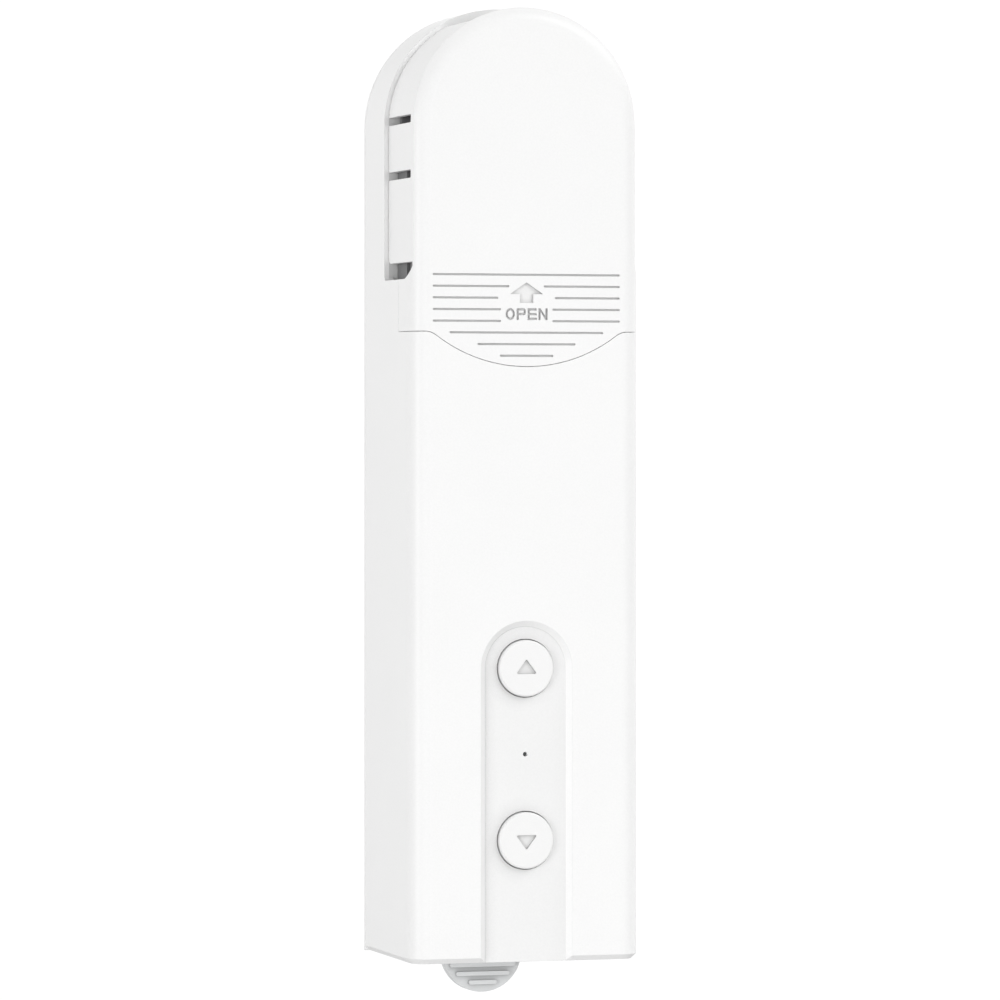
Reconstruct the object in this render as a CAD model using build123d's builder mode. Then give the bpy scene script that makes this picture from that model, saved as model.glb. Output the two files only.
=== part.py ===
from build123d import *
from math import atan2, cos, degrees, pi, radians, sin, sqrt
import os

# A battery-driven motor that pulls the bead chain of a roller shade. The case hangs on a wall
# bracket, slides up and down on it to tension the chain, and locks with a release tongue.
# The frame has +Z up and the front facing -Y. The wall is the plane y = 0, and the origin is the
# middle of the bracket's back, halfway between its two screw holes. All sizes are in millimetres.

# Case
body_width = 44.0
body_height = 175.5
overall_depth = 33.0
wall_gap = 0.3
edge_radius = 3.6
inner_radius = 1.8
foot_chamfer = 0.93
side_wall = 1.8
front_wall = 1.8
floor_wall = 2.0
back_plate = 1.2
parting_chamfer = 0.25

# Clearances
seam_gap = 0.1
slide_gap = 0.2
press_gap = 0.02
running_gap = 0.05
loose_gap = 0.3

# Top cover
cover_height = 60.2
seam_drop = 6.4
seam_curve = 28.8
seam_fillet = 3.2
side_seam_depth = 8.4
lip_depth = 18.2
panel_gap = 0.3
side_rise = 9.6
panel_rise = 3.1
panel_inset = 0.8
panel_thickness = 1.4
gap_corner = 3.3
gap_back_corner = 1.0
ledge_thickness = 1.2
ledge_width = 1.5
ledge_rise = 2.0
panel_corner = 1.2
mouth_half_width = 10.3
slot_rises = (16.1, 26.2)
slot_width = 1.5
slot_start = 2.95
slot_corner = 0.4
rib_width = 2.0
rib_reach = 1.5
rib_depth = 10.0
rib_rise = 2.0
rib_length = 11.5

# Marks on the top cover
mark_depth = 0.55
line_width = 0.35
line_pitch = 2.117
first_line_rise = 10.4
line_half_lengths = (17.85, 17.85, 17.85, 17.85, 17.85, 14.65, 9.35, 5.1)
line_centre_gaps = (0.0, 3.3, 5.4, 4.9, 4.9, 0.0, 0.0, 0.0)
arrow_rise = 9.0
arrow_head = 2.1
arrow_half_width = 3.1
arrow_stem = 1.6
arrow_stem_half = 1.27
word_rise = 2.15
word_height = 2.12
word_width = 8.0
word_letters = 4
letter_gap = 0.35
letter_stroke = 0.4

# Button recess and buttons
recess_radius = 8.72
recess_slope = 1.1
recess_depth = 0.95
recess_backing = 1.65
recess_pad_radius = 9.6
down_height = 22.2
button_spacing = 31.5
button_diameter = 10.4
button_gap = 0.2
button_fillet = 0.4
flange_diameter = 12.6
flange_thickness = 0.7
flange_gap = 0.15
plunger_diameter = 3.0
plunger_length = 0.45
triangle_half_base = 2.02
triangle_height = 2.7
triangle_drop = 0.35
triangle_corner = 0.2
triangle_depth = 0.55
led_hole = 0.84
light_pipe_drop = 1.1

# Control board
board_depth = 6.4
board_thickness = 1.2
board_side_gap = 2.7
board_bottom = 4.0
board_rise = 20.5
board_screw_inset = 3.3
board_screw_bite = 2.5
board_screw_rise = 5.0
board_screw_drop = 9.2
switch_size = 6.0
switch_thickness = 1.8
stem_diameter = 1.8
stem_length = 1.3
stem_hole_depth = 1.4
light_pipe_diameter = 2.2
led_size = (1.6, 0.6, 0.8)
usb_width = 8.94
usb_height = 3.16
usb_length = 7.3
usb_wall = 0.3
usb_tongue_width = 6.2
usb_tongue_thickness = 0.7
usb_tongue_length = 5.6
usb_bottom = 0.6
usb_tongue_recess = 0.9
usb_clearance = 0.3
radio_size = (13.2, 2.3, 9.6)
radio_drop = 8.2
chip_inset = 5.1
chip_rows = ((-1, -7.0, 5.0), (1, -2.0, 6.0), (1, -14.0, 4.0), (-1, 7.0, 4.0))
chip_thickness = 1.0
chip_corner = 0.2
chip_edge = 0.1
board_corner = 1.5

# Battery
battery_diameter = 18.4
battery_drop = 4.2
battery_bottom = 5.0
battery_cap_diameter = 6.0
battery_cap_height = 0.4
battery_edge = 0.8
tab_thickness = 0.3
tab_width = 6.0
tab_reach = 3.0
pad_width = 6.0
pad_ends = 17.0
pad_thickness = 0.3
pad_rise = 7.0
saddle_rise = 11.0
saddle_drop = 10.0
saddle_width = 4.0
saddle_gap = 0.2
saddle_depth = 20.0

# Screws
screw_head_diameter = 3.8
screw_head_height = 1.3
screw_shank_diameter = 2.0
screw_drive = 1.6
screw_drive_depth = 0.6
boss_diameter = 4.8
boss_web = 1.4

# Chain sprocket and its axle
chain_pitch = 6.0
chain_ball = 4.5
sprocket_pockets = 8
sprocket_front = 5.0
sprocket_width = 9.5
sprocket_radius = 9.5
sprocket_hub_radius = 4.2
sprocket_hub_length = 0.4
groove_half_width = 2.9
groove_bottom = 6.4
axle_diameter = 4.0
axle_overrun = 1.0
sprocket_screw_head = 5.2
bush_wall = 1.25
bush_length = 3.6
rear_bush_length = 2.3
clip_thickness = 0.4
clip_radius = 3.2
clip_bite = 0.4
clip_opening = 2.4
sprocket_screw_length = 8.0

# Gears
gear_module = 0.5
wheel_teeth = 30
wheel_hub_step = 0.4
wheel_face = 4.0
wheel_hub_radius = 4.0
worm_pitch_radius = 2.8
worm_side_gap = 9.9
worm_turns = 7
worm_foot_share = 1.24
worm_tip_share = 0.6
worm_height_share = 2.0
worm_sink_share = 0.5
worm_shaft_diameter = 3.0
worm_core_margin = 0.6
spur_teeth = 18
pinion_teeth = 10
gear_shelf_gap = 2.5
gear_face = 4.0
pinion_extra = 0.5
tip_share = 0.24
root_share = 0.6
addendum_share = 0.85
dedendum_share = 1.2

# Motor
motor_back_gap = 0.8
motor_board_gap = 1.8
motor_can_edge = 0.8
motor_shaft_depth = 9.0
motor_screw_bite = 2.5
motor_lean = 49.2
motor_shaft_diameter = 2.0
motor_boss_diameter = 6.0
motor_boss_height = 1.5
motor_screw_inset = 2.8
motor_cap_height = 1.5
motor_cap_inset = 0.8
terminal_spacing = 12.0
terminal_width = 2.0
terminal_thickness = 0.5
terminal_length = 2.6
lead_diameter = 1.2
mount_thickness = 2.0
mount_gap = 1.5

# Chain frame
frame_step = 1.1
frame_wall = 1.4
frame_side_gap = 1.0
frame_boss_radius = 5.4
shelf_thickness = 2.0
shelf_side_gap = 0.6
shelf_drop = 0.9
shelf_back_gap = 0.4
skirt_side_gap = 1.2
skirt_front = 2.2
skirt_thickness = 1.6
skirt_drop = 11.3
guide_gap = 1.4
guide_wall = 1.4
guide_front = 4.2
rail_width = 2.6
rail_front = 6.5
rail_drop = 3.5
frame_screw_rows = ((7.2, -20.5), (5.6, 3.5))
mount_post_rows = ((-1, 6.5, -8.5), (1, 5.1, -9.4), (1, 4.7, 7.4), (-1, 6.5, 7.4))
post_diameter = 4.4
gear_plate_rows = ((-1, 11.0, -2.0), (-1, 11.0, 2.0), (1, 5.7, 2.5), (1, 5.3, -4.4))
gear_plate_step = 3.9
gear_plate_thickness = 1.5
ear_side = 0.9
ear_height = 2.6
ear_rise = 0.5
bush_stand = 0.3
worm_collar_radius = 2.4
worm_collar_height = 1.5
worm_tip = 0.8

# Wall bracket
bracket_bottom = 2.0
bracket_drop = 9.0
bracket_wing = 2.1
bracket_inset = 9.9
bracket_stem_thickness = 1.7
bracket_wing_thickness = 1.3
bracket_corner = 2.0
tray_wall = 1.4
tray_floor_gap = 1.2
tray_floor = 2.2
wall_screw_spacing = 64.0
wall_screw_hole = 4.2
wall_screw_sink = 8.2
wall_screw_sink_angle = 90.0

# Release tongue
tongue_inset = 2.25
tongue_thickness = 2.0
tongue_front_gap = 4.0
tongue_end_height = -0.4
window_gap = 0.25
window_rise = 2.6
hinge_drop = 9.75
hinge_wall_gap = 1.8
hinge_pin_diameter = 1.2
knuckle_radius = 1.5
spring_notch_half = 3.2
spring_notch_drop = 2.6
grip_heights = (-3.0, -4.65, -6.3)
grip_half_lengths = (6.4, 5.2, 2.75)
grip_thickness = 0.8
grip_reach = 0.6
rack_pitch = 2.0
rack_travel = 12.0
tooth_first_height = 16.0
tooth_count = 5
tooth_half_length = 5.0
tooth_reach = 0.6
tooth_foot = 1.3
tooth_tip = 0.5
tooth_gap = 0.15
spring_width = 5.0
spring_thickness = 0.3
spring_anchor = 2.2
spring_back_gap = 0.85
spring_length = 16.0
pin_seat = 1.8

# Back cover
rim_height = 1.5
rim_wall = 1.2
rim_gap = 0.15
screw_pad = 1.5
screw_sink = 1.6
screw_bite = 5.0
back_screw_inset = 5.1
back_screw_rise = 9.0
back_screw_seam_drop = 11.3
back_screw_dome_rise = 7.4
back_boss_start = 23.0
back_edge_chamfer = 0.3

# Places worked out from the sizes above
half_width = body_width / 2
inner_half = half_width - side_wall
bottom = -body_height / 2
dome_height = body_height - half_width
back_depth = overall_depth - wall_gap
parting_depth = back_depth - back_plate

seam_height = body_height - cover_height
side_top = seam_height + side_rise
panel_bottom = side_top + panel_rise
panel_depth = lip_depth - panel_gap
panel_outer = half_width - panel_inset
panel_inner = panel_outer - panel_thickness
slot_heights = [panel_bottom + rise for rise in slot_rises]
rib_bottom = panel_bottom + rib_rise
fillet_cut_depth = edge_radius - sqrt(edge_radius**2 - (edge_radius - panel_inset) ** 2)
first_line = seam_height + first_line_rise
arrow_tip = seam_height + arrow_rise
word_bottom = seam_height + word_rise
letter_width = (word_width + letter_gap) / word_letters - letter_gap

sprocket_back = sprocket_front + sprocket_width
sprocket_middle = sprocket_front + sprocket_width / 2
chain_radius = chain_pitch / (2 * sin(pi / sprocket_pockets))
axle_radius = axle_diameter / 2
bush_radius = axle_radius + bush_wall
bush_front = sprocket_back + sprocket_hub_length + slide_gap
bush_back = bush_front + bush_length
wheel_hub_front = bush_back + slide_gap
wheel_front = wheel_hub_front + wheel_hub_step
wheel_depth = wheel_front + wheel_face / 2
frame_depth = bush_front + frame_step
frame_back = frame_depth + frame_wall
gear_plate_depth = wheel_depth + gear_plate_step
gear_plate_back = gear_plate_depth + gear_plate_thickness
rear_bush_back = gear_plate_back + bush_stand
rear_bush_front = rear_bush_back - rear_bush_length
clip_front = rear_bush_back + slide_gap / 2
axle_end = rear_bush_back + axle_overrun
frame_boss_end = gear_plate_depth - slide_gap

worm_x = inner_half - worm_side_gap
wheel_radius = worm_x - worm_pitch_radius
wheel_module = 2 * wheel_radius / wheel_teeth
worm_lead = pi * wheel_module
worm_root_radius = worm_pitch_radius - dedendum_share * wheel_module
worm_thread_foot = worm_foot_share * wheel_module
worm_thread_tip = worm_tip_share * wheel_module
worm_thread_height = worm_height_share * wheel_module
worm_thread_sink = worm_sink_share * wheel_module
worm_half_thread = worm_turns * worm_lead / 2
worm_half_core = worm_half_thread + worm_core_margin
worm_bush_radius = worm_shaft_diameter / 2 + bush_wall
ear_bottom = dome_height + worm_half_core + ear_rise
ear_top = ear_bottom + ear_height

shelf_top = side_top - shelf_drop
shelf_bottom = shelf_top - shelf_thickness
gear_top = shelf_bottom - gear_shelf_gap
gear_height = gear_top - gear_face
gear_centres = gear_module * (spur_teeth + pinion_teeth) / 2
motor_line = 180 + motor_lean
motor_x = worm_x + gear_centres * cos(radians(motor_line))
motor_depth = wheel_depth + gear_centres * sin(radians(motor_line))
mount_top = gear_height - mount_gap
motor_top = mount_top - mount_thickness
shelf_half_width = inner_half - shelf_side_gap
skirt_half_width = inner_half - skirt_side_gap
frame_reach = inner_half - frame_side_gap
guide_radius = sprocket_radius + guide_gap
skirt_bottom = seam_height - skirt_drop
rail_inner = shelf_half_width - rail_width
rail_top = dome_height - rail_drop
frame_screw_places = [
    (side * (half_width - inset), dome_height + rise)
    for inset, rise in frame_screw_rows
    for side in (-1, 1)
]
mount_post_places = [
    (side * (half_width - inset), motor_depth + step) for side, inset, step in mount_post_rows
]
gear_plate_places = [
    (
        worm_x - inset if side > 0 else inset - half_width,
        dome_height + rise + (wheel_radius if rise > 0 else -wheel_radius),
    )
    for side, inset, rise in gear_plate_rows
]

board_back = board_depth + board_thickness
up_height = down_height + button_spacing
led_height = (up_height + down_height) / 2
board_top = up_height + board_rise
board_half_width = inner_half - board_side_gap
board_screw_places = [
    (side * (board_half_width - board_screw_inset), height)
    for side in (-1, 1)
    for height in (board_bottom + board_screw_rise, board_top - board_screw_drop)
]
radio_height = board_top - radio_drop
chip_places = [
    (side * (board_half_width - chip_inset), led_height + rise, size)
    for side, rise, size in chip_rows
]
recess_inner = recess_depth + recess_backing
flange_front = recess_inner + flange_gap
plunger_end = flange_front + flange_thickness + plunger_length

battery_depth = board_back + pad_thickness + running_gap + battery_diameter / 2
battery_top = board_top - battery_drop
battery_length = battery_top - battery_bottom
saddle_heights = (battery_bottom + saddle_rise, battery_top - saddle_drop)
pad_bottom = battery_bottom + pad_rise
pad_length = battery_length - pad_ends

bracket_top = dome_height - wheel_radius - bracket_drop
bracket_wing_half = half_width - bracket_inset
bracket_stem_half = bracket_wing_half - bracket_wing
bracket_wing_back = overall_depth - bracket_stem_thickness
bracket_front = bracket_wing_back - bracket_wing_thickness
wall_screw_heights = [body_height / 2 + side * wall_screw_spacing / 2 for side in (-1, 1)]
tray_depth = bracket_front - tray_floor_gap
tray_front = tray_depth - tray_floor
motor_bottom = board_top + motor_board_gap
motor_length = motor_top - motor_bottom
motor_diameter = 2 * (tray_front - motor_back_gap - motor_depth)
motor_screw_radius = motor_diameter / 2 - motor_screw_inset
tray_half = bracket_wing_half + loose_gap
tray_outer = tray_half + tray_wall
tray_mouth_half = bracket_stem_half + loose_gap
tray_top = bracket_top + slide_gap

tongue_half_width = bracket_stem_half - tongue_inset
tongue_front = overall_depth - tongue_front_gap
tongue_back = tongue_front + tongue_thickness
hinge_depth = overall_depth - hinge_wall_gap
hinge_height = wall_screw_heights[0] - hinge_drop
window_half = tongue_half_width + window_gap
window_top = hinge_height + window_rise
spring_depth = overall_depth - spring_back_gap

back_screw_x = half_width - back_screw_inset
back_screw_places = [
    (side * back_screw_x, height)
    for height in (back_screw_rise, seam_height - back_screw_seam_drop)
    for side in (-1, 1)
] + [(0, dome_height + wheel_radius + back_screw_dome_rise)]


# Sketch planes that count depth back from the front and height up from the case's foot
def upright(depth):
    """Faces the front: x across, y the height. Extruding by a minus amount goes to the wall."""
    origin = (0, depth - overall_depth, bottom)
    return Plane(origin=origin, x_dir=(1, 0, 0), z_dir=(0, -1, 0))


def level(height):
    """Lies flat at a height: x across, y the depth behind the front."""
    origin = (0, -overall_depth, bottom + height)
    return Plane(origin=origin, x_dir=(1, 0, 0), z_dir=(0, 0, 1))


def sideways(x):
    """Faces +X: x the depth behind the front, y the height."""
    origin = (x, -overall_depth, bottom)
    return Plane(origin=origin, x_dir=(0, 1, 0), z_dir=(1, 0, 0))


def draw_body(inset, foot):
    """The case's outline seen from the front: straight sides under a round top."""
    half = half_width - inset
    with Locations((0, (foot + dome_height) / 2)):
        Rectangle(2 * half, dome_height - foot)
    with Locations((0, dome_height)):
        Circle(half)


def draw_above_seam(growth):
    """The cover's part of the front, above a straight seam with a round dip in its middle."""
    line = seam_height - growth
    above = body_height - line
    with Locations((0, line + above / 2)):
        Rectangle(2 * body_width, above)
    with Locations((0, seam_height - seam_drop + seam_curve)):
        Circle(seam_curve + growth)
    corners = vertices().filter_by(lambda v: abs(v.X) < half_width and abs(v.Y - line) < mark_depth)
    fillet(corners, radius=seam_fillet - growth)


def band(low, high, width, mode=Mode.ADD):
    """A plain upright rectangle between two heights."""
    with Locations((0, (low + high) / 2)):
        Rectangle(width, high - low, mode=mode)


def draw_gear(teeth, turn, module):
    """A gear's outline, with straight-sided slender teeth that leave backlash, one tooth at turn."""
    pitch_radius = module * teeth / 2
    tip = pitch_radius + addendum_share * module
    root = pitch_radius - dedendum_share * module
    step = 360 / teeth
    points = []
    for tooth in range(teeth):
        middle = turn + tooth * step
        for radius, share in ((root, -root_share), (tip, -tip_share), (tip, tip_share), (root, root_share)):
            angle = radians(middle + share * step / 2)
            points.append((radius * cos(angle), radius * sin(angle)))
    Polygon(*points, align=None)


def draw_tooth(height, growth):
    """One tooth of the release tongue seen from the side, or its groove when grown by a gap."""
    base = tongue_front + growth
    crest = tongue_front - tooth_reach - growth
    Polygon(
        (base, height - tooth_foot / 2 - growth),
        (crest, height - tooth_tip / 2 - growth),
        (crest, height + tooth_tip / 2 + growth),
        (base, height + tooth_foot / 2 + growth),
        align=None,
    )


def draw_recess(radius):
    """The button recess seen from the front: straight sides under a round top, open at the foot."""
    with Locations((0, up_height)):
        Circle(radius)
    band(-radius, up_height, 2 * radius)


def draw_side_opening(front):
    """The stepped area of the side: behind the front's edge curve and above the side's top."""
    with Locations(((front + parting_depth) / 2, (side_top + body_height + gap_corner) / 2)):
        Rectangle(parting_depth - front, body_height + gap_corner - side_top)
    fillet(vertices().sort_by(Axis.X)[:2].sort_by(Axis.Y)[0], radius=gap_corner)


def draw_arrow():
    """An arrow that points up, the way the cover slides."""
    neck = arrow_tip - arrow_head
    foot = neck - arrow_stem
    Polygon(
        (0, arrow_tip),
        (arrow_half_width, neck),
        (arrow_stem_half, neck),
        (arrow_stem_half, foot),
        (-arrow_stem_half, foot),
        (-arrow_stem_half, neck),
        (-arrow_half_width, neck),
        align=None,
    )


def draw_word():
    """The word OPEN in plain block letters."""
    width = letter_width
    first = (width - word_width) / 2
    places = [first + letter * (width + letter_gap) for letter in range(word_letters)]
    middle = word_bottom + word_height / 2
    stroke = letter_stroke
    left = -(width - stroke) / 2
    high = (word_height - stroke) / 2
    with Locations((places[0], middle)):
        Ellipse(width / 2, word_height / 2)
        Ellipse(width / 2 - stroke, word_height / 2 - stroke, mode=Mode.SUBTRACT)
    bowl = (word_height + stroke) / 2
    with Locations((places[1], middle + (word_height - bowl) / 2)):
        RectangleRounded(width, bowl, stroke)
        Rectangle(width - 2 * stroke, bowl - 2 * stroke, mode=Mode.SUBTRACT)
    with Locations((places[1] + left, middle), (places[2] + left, middle)):
        Rectangle(stroke, word_height)
    with Locations(*[(places[2], middle + side * high) for side in (-1, 0, 1)]):
        Rectangle(width, stroke)
    with Locations((places[-1] + left, middle), (places[-1] - left, middle)):
        Rectangle(stroke, word_height)
    with Locations((places[-1], middle)):
        Polygon(
            (-width / 2, word_height / 2),
            (-width / 2 + stroke, word_height / 2),
            (width / 2, -word_height / 2),
            (width / 2 - stroke, -word_height / 2),
            align=None,
        )


def screws(seat, places, length, way=1, head=screw_head_diameter):
    """Pan-head screws with a square drive. Heads stand on the seat's near side if way is 1."""
    with BuildPart() as group:
        with BuildSketch(seat):
            with Locations(*places):
                Circle(head / 2)
        extrude(amount=way * screw_head_height)
        with BuildSketch(seat):
            with Locations(*places):
                Circle(screw_shank_diameter / 2)
        extrude(amount=-way * length)
        with BuildSketch(seat.offset(way * screw_head_height)):
            with Locations(*places):
                Rectangle(screw_drive, screw_drive)
        extrude(amount=-way * screw_drive_depth, mode=Mode.SUBTRACT)
    return group.part


def save(part, name):
    """Labels a finished piece and writes it to its own file."""
    part.label = name
    export_step(part, f"parts/{name}.step")
    print(name, len(part.solids()), round(part.volume, 1))


def above_foot(face):
    """The edges of an upright face without the one along its foot."""
    return face.edges().sort_by(Axis.Z)[1:]


def draw_web(x, height):
    """A rib from a screw boss to the side wall, or to the top for a boss in the middle."""
    if x == 0:
        band(height, body_height - side_wall / 2, boss_web)
        return
    side = 1 if x > 0 else -1
    reach = half_width - side_wall / 2 - abs(x)
    with Locations((x + side * reach / 2, height)):
        Rectangle(reach, boss_web)


os.makedirs("parts", exist_ok=True)

# Outer form of the case, from which the housing and the cover are cut
with BuildPart() as body_form:
    with BuildSketch(upright(parting_depth)):
        draw_body(0, 0)
    extrude(amount=parting_depth)
    fillet(above_foot(body_form.faces().sort_by(Axis.Y)[0]), radius=edge_radius)
    foot_face = body_form.faces().sort_by(Axis.Z)[0]
    chamfer(foot_face.edges().sort_by(Axis.Y)[:-1], length=foot_chamfer)
    back_face = body_form.faces().sort_by(Axis.Y)[-1]
    chamfer(back_face.edges(), length=parting_chamfer)

# Hollow inside the housing
with BuildPart() as housing_cavity:
    with BuildSketch(upright(parting_depth)):
        draw_body(side_wall, floor_wall)
    extrude(amount=parting_depth - front_wall)
    fillet(above_foot(housing_cavity.faces().sort_by(Axis.Y)[0]), radius=inner_radius)

back_boss_end = parting_depth - screw_pad
screw_hole = screw_shank_diameter / 2 + press_gap

# Main housing: front, sides and floor of the case in one moulding
with BuildPart() as main_housing:
    add(body_form.part)
    add(housing_cavity.part, mode=Mode.SUBTRACT)
    with BuildSketch(upright(side_seam_depth + seam_gap / 2)):
        draw_above_seam(seam_gap / 2)
    extrude(amount=side_seam_depth + seam_gap, mode=Mode.SUBTRACT)
    with BuildSketch(sideways(-half_width)):
        with Locations((lip_depth / 2, (side_top + body_height + lip_depth) / 2)):
            Rectangle(lip_depth, body_height + lip_depth - side_top)
        fillet(vertices().sort_by(Axis.X)[-2:].sort_by(Axis.Y)[0], radius=gap_back_corner)
    extrude(amount=body_width, mode=Mode.SUBTRACT)

    # Ledges along the sides that close the slots behind the cover
    with BuildSketch(upright(lip_depth + ledge_thickness)):
        band(shelf_top + slide_gap, dome_height + ledge_rise, body_width - side_wall)
        band(shelf_top + slide_gap, dome_height + ledge_rise, 2 * (inner_half - ledge_width), Mode.SUBTRACT)
    extrude(amount=ledge_thickness)

    # Thicker wall behind the button recess
    with BuildSketch(upright(recess_inner)):
        draw_recess(recess_pad_radius)
        band(-recess_pad_radius, floor_wall / 2, 2 * recess_pad_radius, Mode.SUBTRACT)
    extrude(amount=recess_backing / 2)

    # Bosses for the board, the chain frame and the back cover, each tied to the wall by a web
    with BuildSketch(upright(board_depth)):
        with Locations(*board_screw_places):
            Circle(boss_diameter / 2)
    extrude(amount=board_depth - front_wall / 2)
    with BuildSketch(upright(frame_boss_end)):
        with Locations(*frame_screw_places):
            Circle(boss_diameter / 2)
    extrude(amount=frame_boss_end - frame_back)
    with BuildSketch(upright(frame_boss_end)):
        for x, height in frame_screw_places:
            draw_web(x, height)
    extrude(amount=frame_boss_end - lip_depth - loose_gap)
    with BuildSketch(upright(back_boss_end)):
        with Locations(*back_screw_places):
            Circle(boss_diameter / 2)
        for x, height in back_screw_places:
            draw_web(x, height)
    extrude(amount=back_boss_end - back_boss_start)

    # Button recess with sloping edges, then its holes and the charging port
    with BuildSketch(upright(0)):
        draw_recess(recess_radius)
    slope_angle = degrees(atan2(recess_slope, recess_depth))
    extrude(amount=-recess_depth, taper=slope_angle, mode=Mode.SUBTRACT)
    with BuildSketch(upright(0)):
        with Locations((0, up_height), (0, down_height)):
            Circle(button_diameter / 2 + button_gap)
        with Locations((0, led_height)):
            Circle(led_hole / 2)
    extrude(amount=-recess_inner, mode=Mode.SUBTRACT)
    with BuildSketch(level(0)):
        with Locations((0, board_depth - usb_height / 2)):
            RectangleRounded(
                usb_width + 2 * usb_clearance,
                usb_height + 2 * usb_clearance,
                usb_height / 2 + usb_clearance - press_gap,
            )
    extrude(amount=floor_wall, mode=Mode.SUBTRACT)

    # Notch in the floor for the back cover's tray
    with BuildSketch(level(0)):
        with Locations((0, (tray_front - slide_gap + parting_depth) / 2)):
            Rectangle(2 * (tray_outer + slide_gap), parting_depth - tray_front + slide_gap)
    extrude(amount=floor_wall, mode=Mode.SUBTRACT)

    # Screw holes
    with BuildSketch(upright(board_depth)):
        with Locations(*board_screw_places):
            Circle(screw_hole)
    extrude(amount=board_depth - front_wall, mode=Mode.SUBTRACT)
    with BuildSketch(upright(frame_boss_end)):
        with Locations(*frame_screw_places):
            Circle(screw_hole)
    extrude(amount=frame_boss_end - frame_back, mode=Mode.SUBTRACT)
    with BuildSketch(upright(back_boss_end)):
        with Locations(*back_screw_places):
            Circle(screw_hole)
    extrude(amount=back_boss_end - back_boss_start, mode=Mode.SUBTRACT)
save(main_housing.part, "main_housing")

# Back cover: closes the case and holds the T-slot tray that runs on the wall bracket
with BuildPart() as back_cover:
    with BuildSketch(upright(back_depth)):
        draw_body(0, 0)
    extrude(amount=back_plate)
    chamfer(back_cover.faces().sort_by(Axis.Y)[0].edges(), length=parting_chamfer)
    chamfer(back_cover.faces().sort_by(Axis.Y)[-1].edges(), length=back_edge_chamfer)

    # Locating rim inside the housing, broken where the screw bosses stand
    with BuildSketch(upright(parting_depth)):
        draw_body(side_wall + rim_gap, floor_wall + rim_gap)
        with BuildSketch(mode=Mode.SUBTRACT):
            draw_body(side_wall + rim_gap + rim_wall, floor_wall + rim_gap + rim_wall)
        for x, height in back_screw_places:
            with Locations((x * half_width / max(abs(x), 1), height + (body_height - height) * (x == 0))):
                Rectangle(2 * boss_diameter + slide_gap, 2 * boss_diameter + slide_gap, mode=Mode.SUBTRACT)
    extrude(amount=rim_height)
    with BuildSketch(upright(parting_depth)):
        with Locations(*back_screw_places):
            Circle(boss_diameter / 2)
    extrude(amount=screw_pad)

    # Tray with its T-slot and rack
    with BuildSketch(upright(parting_depth)):
        band(0, tray_top + tray_wall, 2 * tray_outer)
    extrude(amount=parting_depth - tray_front)
    with BuildSketch(upright(parting_depth)):
        band(0, tray_top, 2 * tray_half)
    extrude(amount=parting_depth - tray_depth, mode=Mode.SUBTRACT)
    with BuildSketch(upright(back_depth)):
        band(0, tray_top, 2 * tray_mouth_half)
    extrude(amount=back_plate, mode=Mode.SUBTRACT)
    with BuildSketch(sideways(-tooth_half_length - slide_gap)):
        for groove in range(tooth_count + round(rack_travel / rack_pitch)):
            draw_tooth(tooth_first_height - rack_travel + groove * rack_pitch, tooth_gap)
    extrude(amount=2 * (tooth_half_length + slide_gap), mode=Mode.SUBTRACT)

    # Saddles that the battery lies in
    with BuildSketch(upright(tray_front)):
        for height in saddle_heights:
            with Locations((0, height)):
                Rectangle(2 * tray_outer, saddle_width)
    extrude(amount=tray_front - saddle_depth)
    with BuildSketch(level(floor_wall)):
        with Locations((0, battery_depth)):
            Circle(battery_diameter / 2 + saddle_gap)
    extrude(amount=battery_top, mode=Mode.SUBTRACT)

    # Screw holes with sunk seats
    with BuildSketch(upright(back_depth)):
        with Locations(*back_screw_places):
            Circle(screw_head_diameter / 2 + slide_gap)
    extrude(amount=screw_sink, mode=Mode.SUBTRACT)
    with BuildSketch(upright(back_depth)):
        with Locations(*back_screw_places):
            Circle(screw_shank_diameter / 2 + loose_gap)
    extrude(amount=back_plate + screw_pad, mode=Mode.SUBTRACT)
save(back_cover.part, "back_cover")
save(
    screws(upright(back_depth - screw_sink), back_screw_places, screw_pad + screw_bite, way=-1),
    "back_cover_screws",
)

# Hollow inside the top cover
with BuildPart() as cover_cavity:
    with BuildSketch(upright(parting_depth)):
        draw_body(half_width - panel_inner, 0)
    extrude(amount=parting_depth - front_wall)
    fillet(above_foot(cover_cavity.faces().sort_by(Axis.Y)[0]), radius=panel_thickness)

# Shallow step all round the cover's sides, above the side openings
with BuildPart() as panel_recess:
    with BuildSketch(sideways(-half_width)):
        draw_side_opening(fillet_cut_depth)
    extrude(amount=body_width)
    with BuildSketch(upright(parting_depth)):
        draw_body(panel_inset, 0)
    extrude(amount=parting_depth, mode=Mode.SUBTRACT)

# Opening low in each side, under the panels
with BuildPart() as side_opening:
    with BuildSketch(sideways(-half_width)):
        draw_side_opening(fillet_cut_depth)
        with Locations(((front_wall + lip_depth) / 2, (side_top + panel_bottom) / 2)):
            Rectangle(lip_depth - front_wall, panel_bottom - side_top, mode=Mode.INTERSECT)
    extrude(amount=body_width)

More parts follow.
